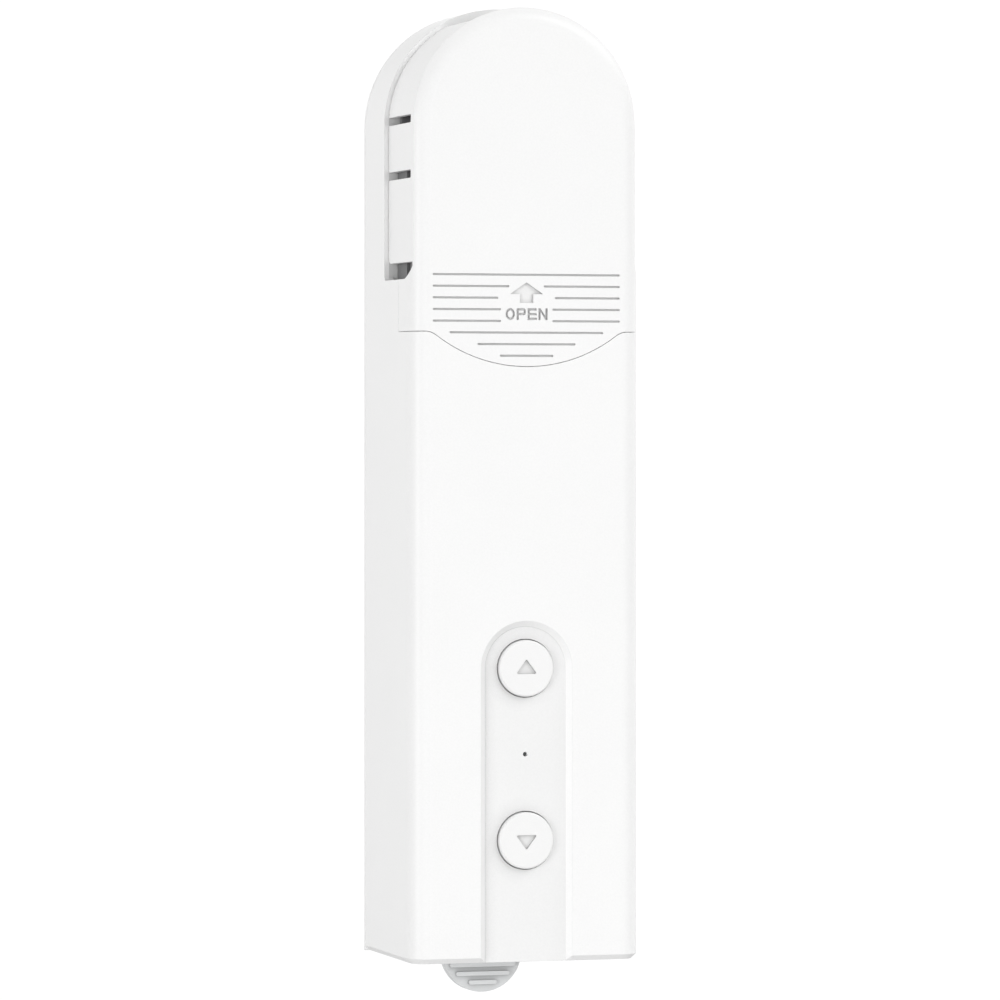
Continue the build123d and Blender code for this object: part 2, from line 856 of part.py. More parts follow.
# Top cover: slides up off the case to thread the chain
with BuildPart() as top_cover:
    add(body_form.part)
    with BuildSketch(upright(panel_depth)):
        draw_above_seam(-seam_gap / 2)
    extrude(amount=panel_depth, mode=Mode.INTERSECT)
    add(cover_cavity.part, mode=Mode.SUBTRACT)
    add(panel_recess.part, mode=Mode.SUBTRACT)
    add(side_opening.part, mode=Mode.SUBTRACT)
    with BuildSketch(sideways(-half_width)):
        with Locations(((side_seam_depth - seam_gap / 2 + lip_depth) / 2, side_top / 2)):
            Rectangle(lip_depth - side_seam_depth + seam_gap / 2, side_top)
    extrude(amount=body_width, mode=Mode.SUBTRACT)
    corners = top_cover.edges().filter_by(Axis.X).filter_by(
        lambda e: abs(e.center().Y - panel_depth + overall_depth) < press_gap
        and abs(e.center().Z - bottom - panel_bottom) < press_gap
    )
    fillet(corners, radius=panel_corner)

    # Slots in the side panels, open at their back edge, and the chain's mouth in the top
    with BuildSketch(sideways(-half_width)):
        for height in slot_heights:
            with Locations(((slot_start + lip_depth) / 2, height)):
                Rectangle(lip_depth - slot_start, slot_width)
        fillet(vertices().group_by(Axis.X)[0], radius=slot_corner)
    extrude(amount=body_width, mode=Mode.SUBTRACT)
    with BuildSketch(upright(lip_depth)):
        band(dome_height, body_height, 2 * mouth_half_width)
    extrude(amount=lip_depth - front_wall, mode=Mode.SUBTRACT)

    # Ribs that run in the chain frame's grooves
    with BuildSketch(level(rib_bottom)):
        rib_across = rib_reach + panel_thickness / 2
        for side in (-1, 1):
            with Locations((side * (panel_inner - rib_reach + rib_across / 2), rib_depth)):
                Rectangle(rib_across, rib_width)
    extrude(amount=rib_length)

    # Engraved lines, arrow and the word above the seam
    with BuildSketch(upright(0)):
        for line, (half_length, centre_gap) in enumerate(zip(line_half_lengths, line_centre_gaps)):
            height = first_line - line * line_pitch
            if centre_gap:
                for side in (-1, 1):
                    with Locations((side * (half_length + centre_gap) / 2, height)):
                        SlotOverall(half_length - centre_gap, line_width)
            else:
                with Locations((0, height)):
                    SlotOverall(2 * half_length, line_width)
        draw_arrow()
        draw_word()
    extrude(amount=-mark_depth, mode=Mode.SUBTRACT)
save(top_cover.part, "top_cover")

# Chain frame: carries the sprocket, guides the chain and holds the cover's ribs
with BuildPart() as chain_frame:
    with BuildSketch(upright(frame_back)):
        with Locations((0, dome_height)):
            Circle(frame_reach)
        band(shelf_bottom, dome_height, 2 * frame_reach)
    extrude(amount=frame_wall)
    with BuildSketch(upright(bush_back - running_gap)):
        with Locations((0, dome_height)):
            Circle(frame_boss_radius)
    extrude(amount=bush_length - 2 * running_gap)
    with BuildSketch(upright(frame_back)):
        with Locations((0, dome_height)):
            Circle(guide_radius + guide_wall)
            Circle(guide_radius, mode=Mode.SUBTRACT)
        band(dome_height, body_height, body_width, Mode.SUBTRACT)
    extrude(amount=frame_back - guide_front)

    # Shelf over the gear, with the front skirt behind the cover's seam
    with BuildSketch(level(shelf_bottom)):
        with Locations((0, (skirt_front + tray_front - shelf_back_gap) / 2)):
            Rectangle(2 * skirt_half_width, tray_front - shelf_back_gap - skirt_front)
    extrude(amount=shelf_thickness)
    with BuildSketch(upright(skirt_front + skirt_thickness)):
        band(skirt_bottom, shelf_top, 2 * skirt_half_width)
    extrude(amount=skirt_thickness)

    # Rail blocks with a groove each for the cover's ribs
    with BuildSketch(upright(frame_back)):
        for side in (-1, 1):
            with Locations((side * (rail_inner + shelf_half_width) / 2, (shelf_bottom + rail_top) / 2)):
                Rectangle(shelf_half_width - rail_inner, rail_top - shelf_bottom)
    extrude(amount=frame_back - rail_front)
    with BuildSketch(level(shelf_top)):
        for side in (-1, 1):
            with Locations((side * (panel_inner - rib_reach - slide_gap + body_width / 2), rib_depth)):
                Rectangle(body_width, rib_width + 2 * slide_gap)
    extrude(amount=rail_top - shelf_top, mode=Mode.SUBTRACT)

    # Ear for the worm's upper bush, posts for the motor mount and the rear bearing plate
    with BuildSketch(level(ear_bottom)):
        with Locations((worm_x, (frame_back + wheel_depth + worm_bush_radius + ear_side) / 2)):
            Rectangle(
                2 * (worm_bush_radius + ear_side),
                wheel_depth + worm_bush_radius + ear_side - frame_back,
            )
    extrude(amount=ear_height)
    with BuildSketch(level(mount_top)):
        with Locations(*mount_post_places):
            Circle(post_diameter / 2)
    extrude(amount=shelf_bottom - mount_top)
    with BuildSketch(upright(gear_plate_depth)):
        with Locations(*gear_plate_places):
            Circle(post_diameter / 2)
    extrude(amount=gear_plate_depth - frame_back)

    # Holes for the bushes and the screws
    with BuildSketch(upright(bush_back)):
        with Locations((0, dome_height)):
            Circle(bush_radius + press_gap)
    extrude(amount=bush_length, mode=Mode.SUBTRACT)
    with BuildSketch(level(shelf_bottom)):
        with Locations((worm_x, wheel_depth)):
            Circle(worm_bush_radius + press_gap)
    extrude(amount=ear_top - shelf_bottom, mode=Mode.SUBTRACT)
    with BuildSketch(upright(frame_back)):
        with Locations(*frame_screw_places):
            Circle(screw_shank_diameter / 2 + loose_gap)
    extrude(amount=frame_wall, mode=Mode.SUBTRACT)
    with BuildSketch(level(mount_top)):
        with Locations(*mount_post_places):
            Circle(screw_hole)
    extrude(amount=shelf_bottom - mount_top, mode=Mode.SUBTRACT)
    with BuildSketch(upright(gear_plate_depth)):
        with Locations(*gear_plate_places):
            Circle(screw_hole)
    extrude(amount=gear_plate_depth - frame_back, mode=Mode.SUBTRACT)
save(chain_frame.part, "chain_frame")
save(screws(upright(frame_depth), frame_screw_places, frame_wall + screw_bite), "frame_screws")

# Rear bearing plate: carries the back end of the axle
with BuildPart() as gear_plate:
    with BuildSketch(upright(gear_plate_back)):
        Polygon(*gear_plate_places, align=None)
        offset(amount=post_diameter / 2, kind=Kind.ARC)
        with Locations(*gear_plate_places):
            Circle(screw_shank_diameter / 2 + loose_gap, mode=Mode.SUBTRACT)
        with Locations((0, dome_height)):
            Circle(bush_radius + press_gap, mode=Mode.SUBTRACT)
    extrude(amount=gear_plate_thickness)
save(gear_plate.part, "gear_plate")
save(
    screws(upright(gear_plate_back), gear_plate_places, gear_plate_thickness + screw_bite, way=-1),
    "gear_plate_screws",
)


def bush(seat, place, bore_radius, outer_radius, length):
    """A plain bearing bush that stands on the near side of its seat plane."""
    with BuildPart() as ring:
        with BuildSketch(seat):
            with Locations(place):
                Circle(outer_radius)
                Circle(bore_radius, mode=Mode.SUBTRACT)
        extrude(amount=length)
    return ring.part


axle_bore = axle_radius + running_gap
save(bush(upright(bush_back), (0, dome_height), axle_bore, bush_radius, bush_length), "axle_bush_front")
save(
    bush(upright(rear_bush_back), (0, dome_height), axle_bore, bush_radius, rear_bush_length),
    "axle_bush_rear",
)
worm_bore = worm_shaft_diameter / 2 + running_gap
lower_bush_bottom = shelf_bottom - bush_stand
upper_bush_bottom = ear_bottom - bush_stand / 2
for bush_bottom, height, name in (
    (lower_bush_bottom, shelf_thickness + 2 * bush_stand, "worm_bush_lower"),
    (upper_bush_bottom, ear_height + bush_stand, "worm_bush_upper"),
):
    save(bush(level(bush_bottom), (worm_x, wheel_depth), worm_bore, worm_bush_radius, height), name)

# Drive axle, with a tapped front end and a groove for its clip
with BuildPart() as drive_axle:
    with BuildSketch(upright(axle_end)):
        with Locations((0, dome_height)):
            Circle(axle_radius)
    extrude(amount=axle_end - sprocket_front)
    with BuildSketch(upright(clip_front + clip_thickness)):
        with Locations((0, dome_height)):
            Circle(axle_radius + clip_bite)
            Circle(axle_radius - clip_bite, mode=Mode.SUBTRACT)
    extrude(amount=clip_thickness, mode=Mode.SUBTRACT)
    with BuildSketch(upright(sprocket_front)):
        with Locations((0, dome_height)):
            Circle(screw_hole)
    extrude(amount=-sprocket_screw_length, mode=Mode.SUBTRACT)
save(drive_axle.part, "drive_axle")

# Spring clip that keeps the axle from sliding forward
with BuildPart() as axle_clip:
    with BuildSketch(upright(clip_front + clip_thickness - press_gap)):
        with Locations((0, dome_height)):
            Circle(clip_radius)
            Circle(axle_radius - clip_bite + press_gap, mode=Mode.SUBTRACT)
        with Locations((0, dome_height - clip_radius)):
            Rectangle(clip_opening, 2 * clip_radius, mode=Mode.SUBTRACT)
    extrude(amount=clip_thickness - 2 * press_gap)
save(axle_clip.part, "axle_clip")

# Chain sprocket: a grooved wheel with a pocket for each ball of the chain
with BuildPart() as sprocket:
    with BuildSketch(sideways(0)):
        Polygon(
            (sprocket_front, dome_height + axle_radius + press_gap),
            (sprocket_front, dome_height + sprocket_radius),
            (sprocket_middle - groove_half_width, dome_height + sprocket_radius),
            (sprocket_middle, dome_height + groove_bottom),
            (sprocket_middle + groove_half_width, dome_height + sprocket_radius),
            (sprocket_back, dome_height + sprocket_radius),
            (sprocket_back, dome_height + sprocket_hub_radius),
            (sprocket_back + sprocket_hub_length, dome_height + sprocket_hub_radius),
            (sprocket_back + sprocket_hub_length, dome_height + axle_radius + press_gap),
            align=None,
        )
    revolve(axis=Axis((0, 0, bottom + dome_height), (0, 1, 0)))
    with Locations(upright(sprocket_middle).location * Location((0, dome_height, 0))):
        with PolarLocations(chain_radius, sprocket_pockets):
            Sphere(chain_ball / 2 + slide_gap, rotation=(90, 0, 0), mode=Mode.SUBTRACT)
save(sprocket.part, "sprocket")
sprocket_screw = screws(
    upright(sprocket_front), [(0, dome_height)], sprocket_screw_length - slide_gap, head=sprocket_screw_head
)
save(sprocket_screw, "sprocket_screw")

# Worm wheel on the axle
with BuildPart() as worm_wheel:
    with BuildSketch(upright(wheel_front + wheel_face)):
        with Locations((0, dome_height)):
            draw_gear(wheel_teeth, 180 / wheel_teeth, wheel_module)
    extrude(amount=wheel_face)
    with BuildSketch(upright(rear_bush_front - slide_gap)):
        with Locations((0, dome_height)):
            Circle(wheel_hub_radius)
    extrude(amount=rear_bush_front - slide_gap - wheel_hub_front)
    with BuildSketch(upright(rear_bush_front)):
        with Locations((0, dome_height)):
            Circle(axle_radius + press_gap)
    extrude(amount=rear_bush_front - wheel_hub_front, mode=Mode.SUBTRACT)
save(worm_wheel.part, "worm_wheel")

# Worm: one thread cut on its shaft, with a collar that rests on the lower bush
thread_start = level(dome_height - worm_half_thread).location * Location((worm_x, wheel_depth, 0))
collar_bottom = lower_bush_bottom + shelf_thickness + 2 * bush_stand + slide_gap
with BuildPart() as worm:
    with BuildSketch(level(gear_height)):
        with Locations((worm_x, wheel_depth)):
            Circle(worm_shaft_diameter / 2)
    extrude(amount=ear_top + worm_tip - gear_height)
    with BuildSketch(level(dome_height - worm_half_core)):
        with Locations((worm_x, wheel_depth)):
            Circle(worm_root_radius)
    extrude(amount=2 * worm_half_core)
    with BuildSketch(level(collar_bottom)):
        with Locations((worm_x, wheel_depth)):
            Circle(worm_collar_radius)
    extrude(amount=worm_collar_height)
    with BuildLine(Plane(thread_start)) as thread_line:
        Helix(worm_lead, 2 * worm_half_thread, worm_root_radius)
    with BuildSketch(Plane(thread_line.wire() @ 0, x_dir=(1, 0, 0), z_dir=thread_line.wire() % 0)):
        Polygon(
            (-worm_thread_sink, -worm_thread_foot / 2),
            (worm_thread_height, -worm_thread_tip / 2),
            (worm_thread_height, worm_thread_tip / 2),
            (-worm_thread_sink, worm_thread_foot / 2),
            align=None,
        )
    sweep(path=thread_line.wire(), is_frenet=True)
save(worm.part, "worm")

# Gear pair from the motor up to the worm
with BuildPart() as worm_spur_gear:
    with BuildSketch(level(gear_height)):
        with Locations((worm_x, wheel_depth)):
            draw_gear(spur_teeth, motor_line, gear_module)
            Circle(worm_shaft_diameter / 2 + press_gap, mode=Mode.SUBTRACT)
    extrude(amount=gear_face)
save(worm_spur_gear.part, "worm_spur_gear")
with BuildPart() as motor_pinion:
    with BuildSketch(level(gear_height)):
        with Locations((motor_x, motor_depth)):
            draw_gear(pinion_teeth, motor_line + 180 + 180 / pinion_teeth, gear_module)
            Circle(motor_shaft_diameter / 2 + press_gap, mode=Mode.SUBTRACT)
    extrude(amount=gear_face + pinion_extra)
save(motor_pinion.part, "motor_pinion")

# Motor: a closed can with a boss, its shaft, its rear cap and two terminals
motor_place = (motor_x, motor_depth)
motor_screw_line = radians(motor_line + 90)
motor_screw_places = [
    (
        motor_x + side * motor_screw_radius * cos(motor_screw_line),
        motor_depth + side * motor_screw_radius * sin(motor_screw_line),
    )
    for side in (-1, 1)
]
with BuildPart() as motor_can:
    with BuildSketch(level(motor_bottom)):
        with Locations(motor_place):
            Circle(motor_diameter / 2)
    extrude(amount=motor_length)
    fillet(motor_can.edges().filter_by(GeomType.CIRCLE), radius=motor_can_edge)
    with BuildSketch(level(motor_top)):
        with Locations(motor_place):
            Circle(motor_boss_diameter / 2)
    extrude(amount=motor_boss_height)
    with BuildSketch(level(motor_top + motor_boss_height)):
        with Locations(motor_place):
            Circle(motor_shaft_diameter / 2 + running_gap)
    extrude(amount=-motor_shaft_depth - running_gap, mode=Mode.SUBTRACT)
    with BuildSketch(level(motor_top)):
        with Locations(*motor_screw_places):
            Circle(screw_hole)
    extrude(amount=-motor_screw_bite - slide_gap, mode=Mode.SUBTRACT)
save(motor_can.part, "motor_can")
with BuildPart() as motor_shaft:
    with BuildSketch(level(gear_top + pinion_extra)):
        with Locations(motor_place):
            Circle(motor_shaft_diameter / 2)
    extrude(amount=-(gear_top + pinion_extra - motor_top - motor_boss_height + motor_shaft_depth))
save(motor_shaft.part, "motor_shaft")
with BuildPart() as motor_end_cap:
    with BuildSketch(level(motor_bottom)):
        with Locations(motor_place):
            Circle(motor_diameter / 2 - motor_cap_inset)
    extrude(amount=-motor_cap_height)
    chamfer(motor_end_cap.edges().sort_by(Axis.Z)[0], length=motor_can_edge / 2)
save(motor_end_cap.part, "motor_end_cap")
terminal_places = [(motor_x + side * terminal_spacing / 2, motor_depth) for side in (-1, 1)]
with BuildPart() as motor_terminals:
    with BuildSketch(level(motor_bottom - motor_cap_height)):
        with Locations(*terminal_places):
            Rectangle(terminal_width, terminal_thickness)
    extrude(amount=-terminal_length)
save(motor_terminals.part, "motor_terminals")
lead_height = motor_bottom - motor_cap_height - terminal_length / 2
with BuildPart() as motor_leads:
    with BuildSketch(upright(motor_depth - terminal_thickness / 2)):
        with Locations(*[(x, lead_height) for x, _ in terminal_places]):
            Circle(lead_diameter / 2)
    extrude(amount=motor_depth - terminal_thickness / 2 - board_back)
save(motor_leads.part, "motor_leads")

# Motor mount: a plate between the motor and the posts of the chain frame
with BuildPart() as motor_mount:
    with BuildSketch(level(motor_top)):
        Polygon(*mount_post_places, align=None)
        offset(amount=post_diameter / 2, kind=Kind.ARC)
        with Locations(*mount_post_places, *motor_screw_places):
            Circle(screw_shank_diameter / 2 + loose_gap, mode=Mode.SUBTRACT)
        with Locations(motor_place):
            Circle(motor_boss_diameter / 2 + running_gap, mode=Mode.SUBTRACT)
    extrude(amount=mount_thickness)
save(motor_mount.part, "motor_mount")
save(screws(level(motor_top), mount_post_places, mount_thickness + screw_bite, way=-1), "mount_screws")
save(screws(level(mount_top), motor_screw_places, mount_thickness + motor_screw_bite), "motor_screws")

# Control board with its parts
with BuildPart() as control_board:
    with BuildSketch(upright(board_back)):
        band(board_bottom, board_top, 2 * board_half_width)
        fillet(vertices(), radius=board_corner)
        with Locations(*board_screw_places):
            Circle(screw_shank_diameter / 2 + slide_gap, mode=Mode.SUBTRACT)
    extrude(amount=board_thickness)
save(control_board.part, "control_board")
save(
    screws(upright(board_back), board_screw_places, board_thickness + board_screw_bite, way=-1),
    "board_screws",
)


def rounded_block(place, width, height, thickness, corner):
    """A part soldered to the front of the board."""
    with BuildPart() as block:
        with BuildSketch(upright(board_depth)):
            with Locations(place):
                RectangleRounded(width, height, corner)
        extrude(amount=thickness)
        front = block.faces().sort_by(Axis.Y)[0]
        chamfer(front.edges(), length=chip_edge)
    return block.part


radio_width, radio_thickness, radio_length = radio_size
radio = rounded_block((0, radio_height), radio_width, radio_length, radio_thickness, chip_corner)
save(radio, "radio_module")
chips = [rounded_block((x, h), size, size, chip_thickness, chip_corner) for x, h, size in chip_places]
save(Compound(children=chips), "board_chips")
led_width, led_thickness, led_length = led_size
save(rounded_block((0, led_height), led_width, led_length, led_thickness, chip_corner), "indicator_led")

# Light pipe from the light to the front
with BuildPart() as light_pipe:
    with BuildSketch(upright(recess_inner)):
        with Locations((0, led_height)):
            Circle(led_hole / 2 - press_gap)
    extrude(amount=recess_backing - light_pipe_drop)
    with BuildSketch(upright(board_depth - led_thickness - slide_gap)):
        with Locations((0, led_height)):
            Circle(light_pipe_diameter / 2)
    extrude(amount=board_depth - led_thickness - slide_gap - recess_inner)
save(light_pipe.part, "light_pipe")

# Charging port: a metal shell with a tongue inside
usb_place = (0, board_depth - usb_height / 2)
with BuildPart() as usb_socket_shell:
    with BuildSketch(level(usb_bottom)):
        with Locations(usb_place):
            RectangleRounded(usb_width, usb_height, usb_height / 2 - press_gap)
            RectangleRounded(
                usb_width - 2 * usb_wall,
                usb_height - 2 * usb_wall,
                usb_height / 2 - usb_wall - press_gap,
                mode=Mode.SUBTRACT,
            )
    extrude(amount=usb_length)
save(usb_socket_shell.part, "usb_socket_shell")
with BuildPart() as usb_socket_tongue:
    with BuildSketch(level(usb_bottom + usb_length)):
        with Locations(usb_place):
            RectangleRounded(
                usb_width - 2 * usb_wall - 2 * press_gap,
                usb_height - 2 * usb_wall - 2 * press_gap,
                usb_height / 2 - usb_wall - 2 * press_gap,
            )
    extrude(amount=-(usb_length - usb_tongue_length))
    with BuildSketch(level(usb_bottom + usb_length)):
        with Locations(usb_place):
            Rectangle(usb_tongue_width, usb_tongue_thickness)
    extrude(amount=-(usb_length - usb_tongue_recess))
save(usb_socket_tongue.part, "usb_socket_tongue")

# Battery cell, its welded tabs and the foam pad behind the board
with BuildPart() as battery_cell:
    with BuildSketch(level(battery_bottom)):
        with Locations((0, battery_depth)):
            Circle(battery_diameter / 2)
    extrude(amount=battery_length)
    fillet(battery_cell.edges().filter_by(GeomType.CIRCLE), radius=battery_edge)
    with BuildSketch(level(battery_top)):
        with Locations((0, battery_depth)):
            Circle(battery_cap_diameter / 2)
    extrude(amount=battery_cap_height)
save(battery_cell.part, "battery_cell")
tab_length = battery_depth + tab_reach - board_back
with BuildPart() as battery_tabs:
    for height in (battery_bottom - tab_thickness, battery_top + battery_cap_height):
        with BuildSketch(level(height)):
            with Locations((0, board_back + tab_length / 2)):
                Rectangle(tab_width, tab_length)
        extrude(amount=tab_thickness)
save(battery_tabs.part, "battery_tabs")
with BuildPart() as battery_pad:
    with BuildSketch(upright(board_back + pad_thickness)):
        band(pad_bottom, pad_bottom + pad_length, pad_width)
    extrude(amount=pad_thickness)
save(battery_pad.part, "battery_pad")

# Buttons, the stems of their switches and the switch bodies, up and down alike
for name, height, way in (("up", up_height, 1), ("down", down_height, -1)):
    with BuildPart() as button:
        with BuildSketch(upright(flange_front)):
            with Locations((0, height)):
                Circle(button_diameter / 2)
        extrude(amount=flange_front)
        front_edge = button.edges().filter_by(GeomType.CIRCLE).sort_by(Axis.Y)[0]
        fillet(front_edge, radius=button_fillet)
        with BuildSketch(upright(flange_front + flange_thickness)):
            with Locations((0, height)):
                Circle(flange_diameter / 2)
        extrude(amount=flange_thickness)
        with BuildSketch(upright(plunger_end)):
            with Locations((0, height)):
                Circle(plunger_diameter / 2)
        extrude(amount=plunger_length)
        with BuildSketch(upright(0)):
            with Locations((0, height + way * triangle_drop)):
                Polygon(
                    (-triangle_half_base, -way * triangle_height / 2),
                    (0, way * triangle_height / 2),
                    (triangle_half_base, -way * triangle_height / 2),
                    align=None,
                )
            fillet(vertices(), radius=triangle_corner)
        extrude(amount=-triangle_depth, mode=Mode.SUBTRACT)
    save(button.part, f"{name}_button")
    with BuildPart() as stem:
        with BuildSketch(upright(plunger_end + stem_length)):
            with Locations((0, height)):
                Circle(stem_diameter / 2)
        extrude(amount=stem_length)
    save(stem.part, f"{name}_switch_stem")
    with BuildPart() as switch:
        with BuildSketch(upright(board_depth)):
            with Locations((0, height)):
                RectangleRounded(switch_size, switch_size, chip_corner)
        extrude(amount=switch_thickness)
        with BuildSketch(upright(board_depth - switch_thickness)):
            with Locations((0, height)):
                Circle(stem_diameter / 2 + running_gap)
        extrude(amount=-stem_hole_depth, mode=Mode.SUBTRACT)
    save(switch.part, f"{name}_switch")

# Wall bracket: a T-section plate with two countersunk holes and a window for the tongue
with BuildPart() as wall_bracket:
    with BuildSketch(upright(overall_depth)):
        band(bracket_bottom, bracket_top, 2 * bracket_stem_half)
        fillet(vertices(), radius=bracket_corner)
    extrude(amount=bracket_stem_thickness)
    with BuildSketch(upright(bracket_wing_back)):
        band(bracket_bottom, bracket_top, 2 * bracket_wing_half)
        fillet(vertices(), radius=bracket_corner)
    extrude(amount=bracket_wing_thickness)
    with BuildSketch(upright(overall_depth)):
        band(bracket_bottom, window_top, 2 * window_half)
    extrude(amount=overall_depth - bracket_front, mode=Mode.SUBTRACT)
    for height in wall_screw_heights:
        with Locations(upright(bracket_front).location * Location((0, height, 0))):
            CounterSinkHole(
                wall_screw_hole / 2, wall_screw_sink / 2, counter_sink_angle=wall_screw_sink_angle
            )
    with BuildSketch(sideways(-window_half - pin_seat)):
        with Locations((hinge_depth, hinge_height)):
            Circle(hinge_pin_diameter / 2 + press_gap)
    extrude(amount=2 * (window_half + pin_seat), mode=Mode.SUBTRACT)
    with BuildSketch(sideways(-spring_width / 2 - press_gap)):
        with Locations((spring_depth, window_top + spring_anchor / 2)):
            Rectangle(spring_thickness + 2 * press_gap, spring_anchor)
    extrude(amount=spring_width + 2 * press_gap, mode=Mode.SUBTRACT)
save(wall_bracket.part, "wall_bracket")

with BuildPart() as latch_pin:
    with BuildSketch(sideways(-window_half - pin_seat)):
        with Locations((hinge_depth, hinge_height)):
            Circle(hinge_pin_diameter / 2)
    extrude(amount=2 * (window_half + pin_seat))
save(latch_pin.part, "latch_pin")

# Release tongue: hinged in the bracket, toothed in front, with a ribbed tab below the case
with BuildPart() as release_latch:
    with BuildSketch(upright(tongue_back)):
        with Locations((0, tongue_end_height)):
            Circle(tongue_half_width)
        band(tongue_end_height, hinge_height, 2 * tongue_half_width)
    extrude(amount=tongue_thickness)
    with BuildSketch(sideways(-tongue_half_width)):
        with Locations((hinge_depth, hinge_height)):
            Circle(knuckle_radius)
    extrude(amount=2 * tongue_half_width)
    with BuildSketch(upright(tongue_front)):
        for height, half_length in zip(grip_heights, grip_half_lengths):
            with Locations((0, height)):
                SlotOverall(2 * half_length, grip_thickness)
    extrude(amount=grip_reach)
    with BuildSketch(sideways(-tooth_half_length)):
        for tooth in range(tooth_count):
            draw_tooth(tooth_first_height + tooth * rack_pitch, 0)
    extrude(amount=2 * tooth_half_length)
    with BuildSketch(upright(overall_depth)):
        band(hinge_height - spring_notch_drop, window_top, 2 * spring_notch_half)
    extrude(amount=overall_depth - tongue_front, mode=Mode.SUBTRACT)
    with BuildSketch(sideways(-tongue_half_width)):
        with Locations((hinge_depth, hinge_height)):
            Circle(hinge_pin_diameter / 2 + running_gap)
    extrude(amount=2 * tongue_half_width, mode=Mode.SUBTRACT)
save(release_latch.part, "release_latch")

# Leaf spring that presses the tongue's teeth into the rack
spring_end = hinge_height - spring_length
with BuildPart() as latch_spring:
    with BuildSketch(sideways(-spring_width / 2)):
        with BuildLine():
            FilletPolyline(
                (spring_depth, window_top + spring_anchor - press_gap),
                (spring_depth, hinge_height - spring_notch_drop),
                (tongue_back + running_gap + spring_thickness / 2, spring_end),
                radius=spring_length / 2,
            )
        trace(line_width=spring_thickness)
    extrude(amount=spring_width)
save(latch_spring.part, "latch_spring")
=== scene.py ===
from math import cos, pi, radians, sin

import bmesh
import bpy
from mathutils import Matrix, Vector


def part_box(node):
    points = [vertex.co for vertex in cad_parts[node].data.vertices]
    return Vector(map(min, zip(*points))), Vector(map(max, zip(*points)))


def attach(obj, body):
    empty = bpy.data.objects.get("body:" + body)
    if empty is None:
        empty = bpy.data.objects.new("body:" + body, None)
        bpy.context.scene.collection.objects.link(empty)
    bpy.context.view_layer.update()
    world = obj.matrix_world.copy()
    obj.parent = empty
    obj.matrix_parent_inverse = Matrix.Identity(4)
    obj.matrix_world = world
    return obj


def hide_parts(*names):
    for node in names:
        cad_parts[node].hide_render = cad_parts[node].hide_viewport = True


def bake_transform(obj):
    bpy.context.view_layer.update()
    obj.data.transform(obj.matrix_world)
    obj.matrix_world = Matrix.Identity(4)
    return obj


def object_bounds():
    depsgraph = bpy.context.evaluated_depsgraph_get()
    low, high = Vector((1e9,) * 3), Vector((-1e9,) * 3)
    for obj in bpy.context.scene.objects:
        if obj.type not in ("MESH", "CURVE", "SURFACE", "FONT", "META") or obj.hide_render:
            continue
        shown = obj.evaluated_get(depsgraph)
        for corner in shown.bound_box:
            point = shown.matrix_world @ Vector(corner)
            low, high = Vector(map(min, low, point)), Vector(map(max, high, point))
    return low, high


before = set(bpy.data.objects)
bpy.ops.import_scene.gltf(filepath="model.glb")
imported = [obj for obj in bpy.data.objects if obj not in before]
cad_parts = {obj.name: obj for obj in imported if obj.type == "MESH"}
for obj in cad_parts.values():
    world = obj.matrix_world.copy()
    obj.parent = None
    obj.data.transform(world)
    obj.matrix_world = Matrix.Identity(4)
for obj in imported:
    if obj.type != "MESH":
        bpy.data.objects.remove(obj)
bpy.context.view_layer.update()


# Studio: a round sheet of pale paper under the motor, soft lamps all round it and a white wall
# behind. The camera stands a little to the motor's left, level and as far off as the photograph
# was taken from, with its frame shifted straight down to take in the whole case.
MM = 0.001
camera_turn = radians(16.53)
camera_distance = 1048.6 * MM
camera_aside = -4.88 * MM
camera_lift = 9.25 * MM
film_width = 36.0
focal_length = 206.4
frame_drop = 0.0683
front_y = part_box("top_cover")[0].y


def put_in_scene(name, data):
    """Makes an object of a camera, a lamp or a mesh and puts it into the scene."""
    made = bpy.data.objects.new(name, data)
    bpy.context.scene.collection.objects.link(made)
    return made


lens = bpy.data.cameras.new("studio_camera")
lens.sensor_width = film_width
lens.lens = focal_length
lens.shift_y = -frame_drop
camera = put_in_scene("studio_camera", lens)
camera_way = Vector((sin(camera_turn), cos(camera_turn), 0))
camera_right = Vector((cos(camera_turn), -sin(camera_turn), 0))
camera.location = Vector((0, front_y, camera_lift))
camera.location += camera_right * camera_aside - camera_way * camera_distance
camera.rotation_euler = (pi / 2, 0, -camera_turn)
bpy.context.scene.camera = camera
bpy.context.scene.view_settings.view_transform = "Standard"

floor_drop = 60 * MM
floor_radius = 450 * MM
floor_sides = 96
floor_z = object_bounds()[0].z - floor_drop
floor_rim = [2 * pi * side / floor_sides for side in range(floor_sides)]
floor_mesh = bpy.data.meshes.new("studio_floor")
floor_mesh.from_pydata(
    [(floor_radius * cos(turn), floor_radius * sin(turn), floor_z) for turn in floor_rim],
    [],
    [tuple(range(floor_sides))],
)
put_in_scene("studio_floor", floor_mesh)


def place_node(tree, kind, sockets=(), **options):
    """Adds a shader node, sets its options and fills its sockets with values or with links."""
    made = tree.nodes.new(kind)
    for option, value in options.items():
        setattr(made, option, value)
    for socket, value in sockets:
        if isinstance(value, bpy.types.NodeSocket):
            tree.links.new(value, made.inputs[socket])
        else:
            made.inputs[socket].default_value = value
    return made


def new_finish(name, steady=()):
    """Starts a finish, with the values of its coat that are the same all over."""
    finish = bpy.data.materials.new(name)
    finish.use_nodes = True
    tree = finish.node_tree
    for socket, value in steady:
        tree.nodes["Principled BSDF"].inputs[socket].default_value = value
    place = place_node(tree, "ShaderNodeTexCoord").outputs["Object"]
    return finish, tree, place


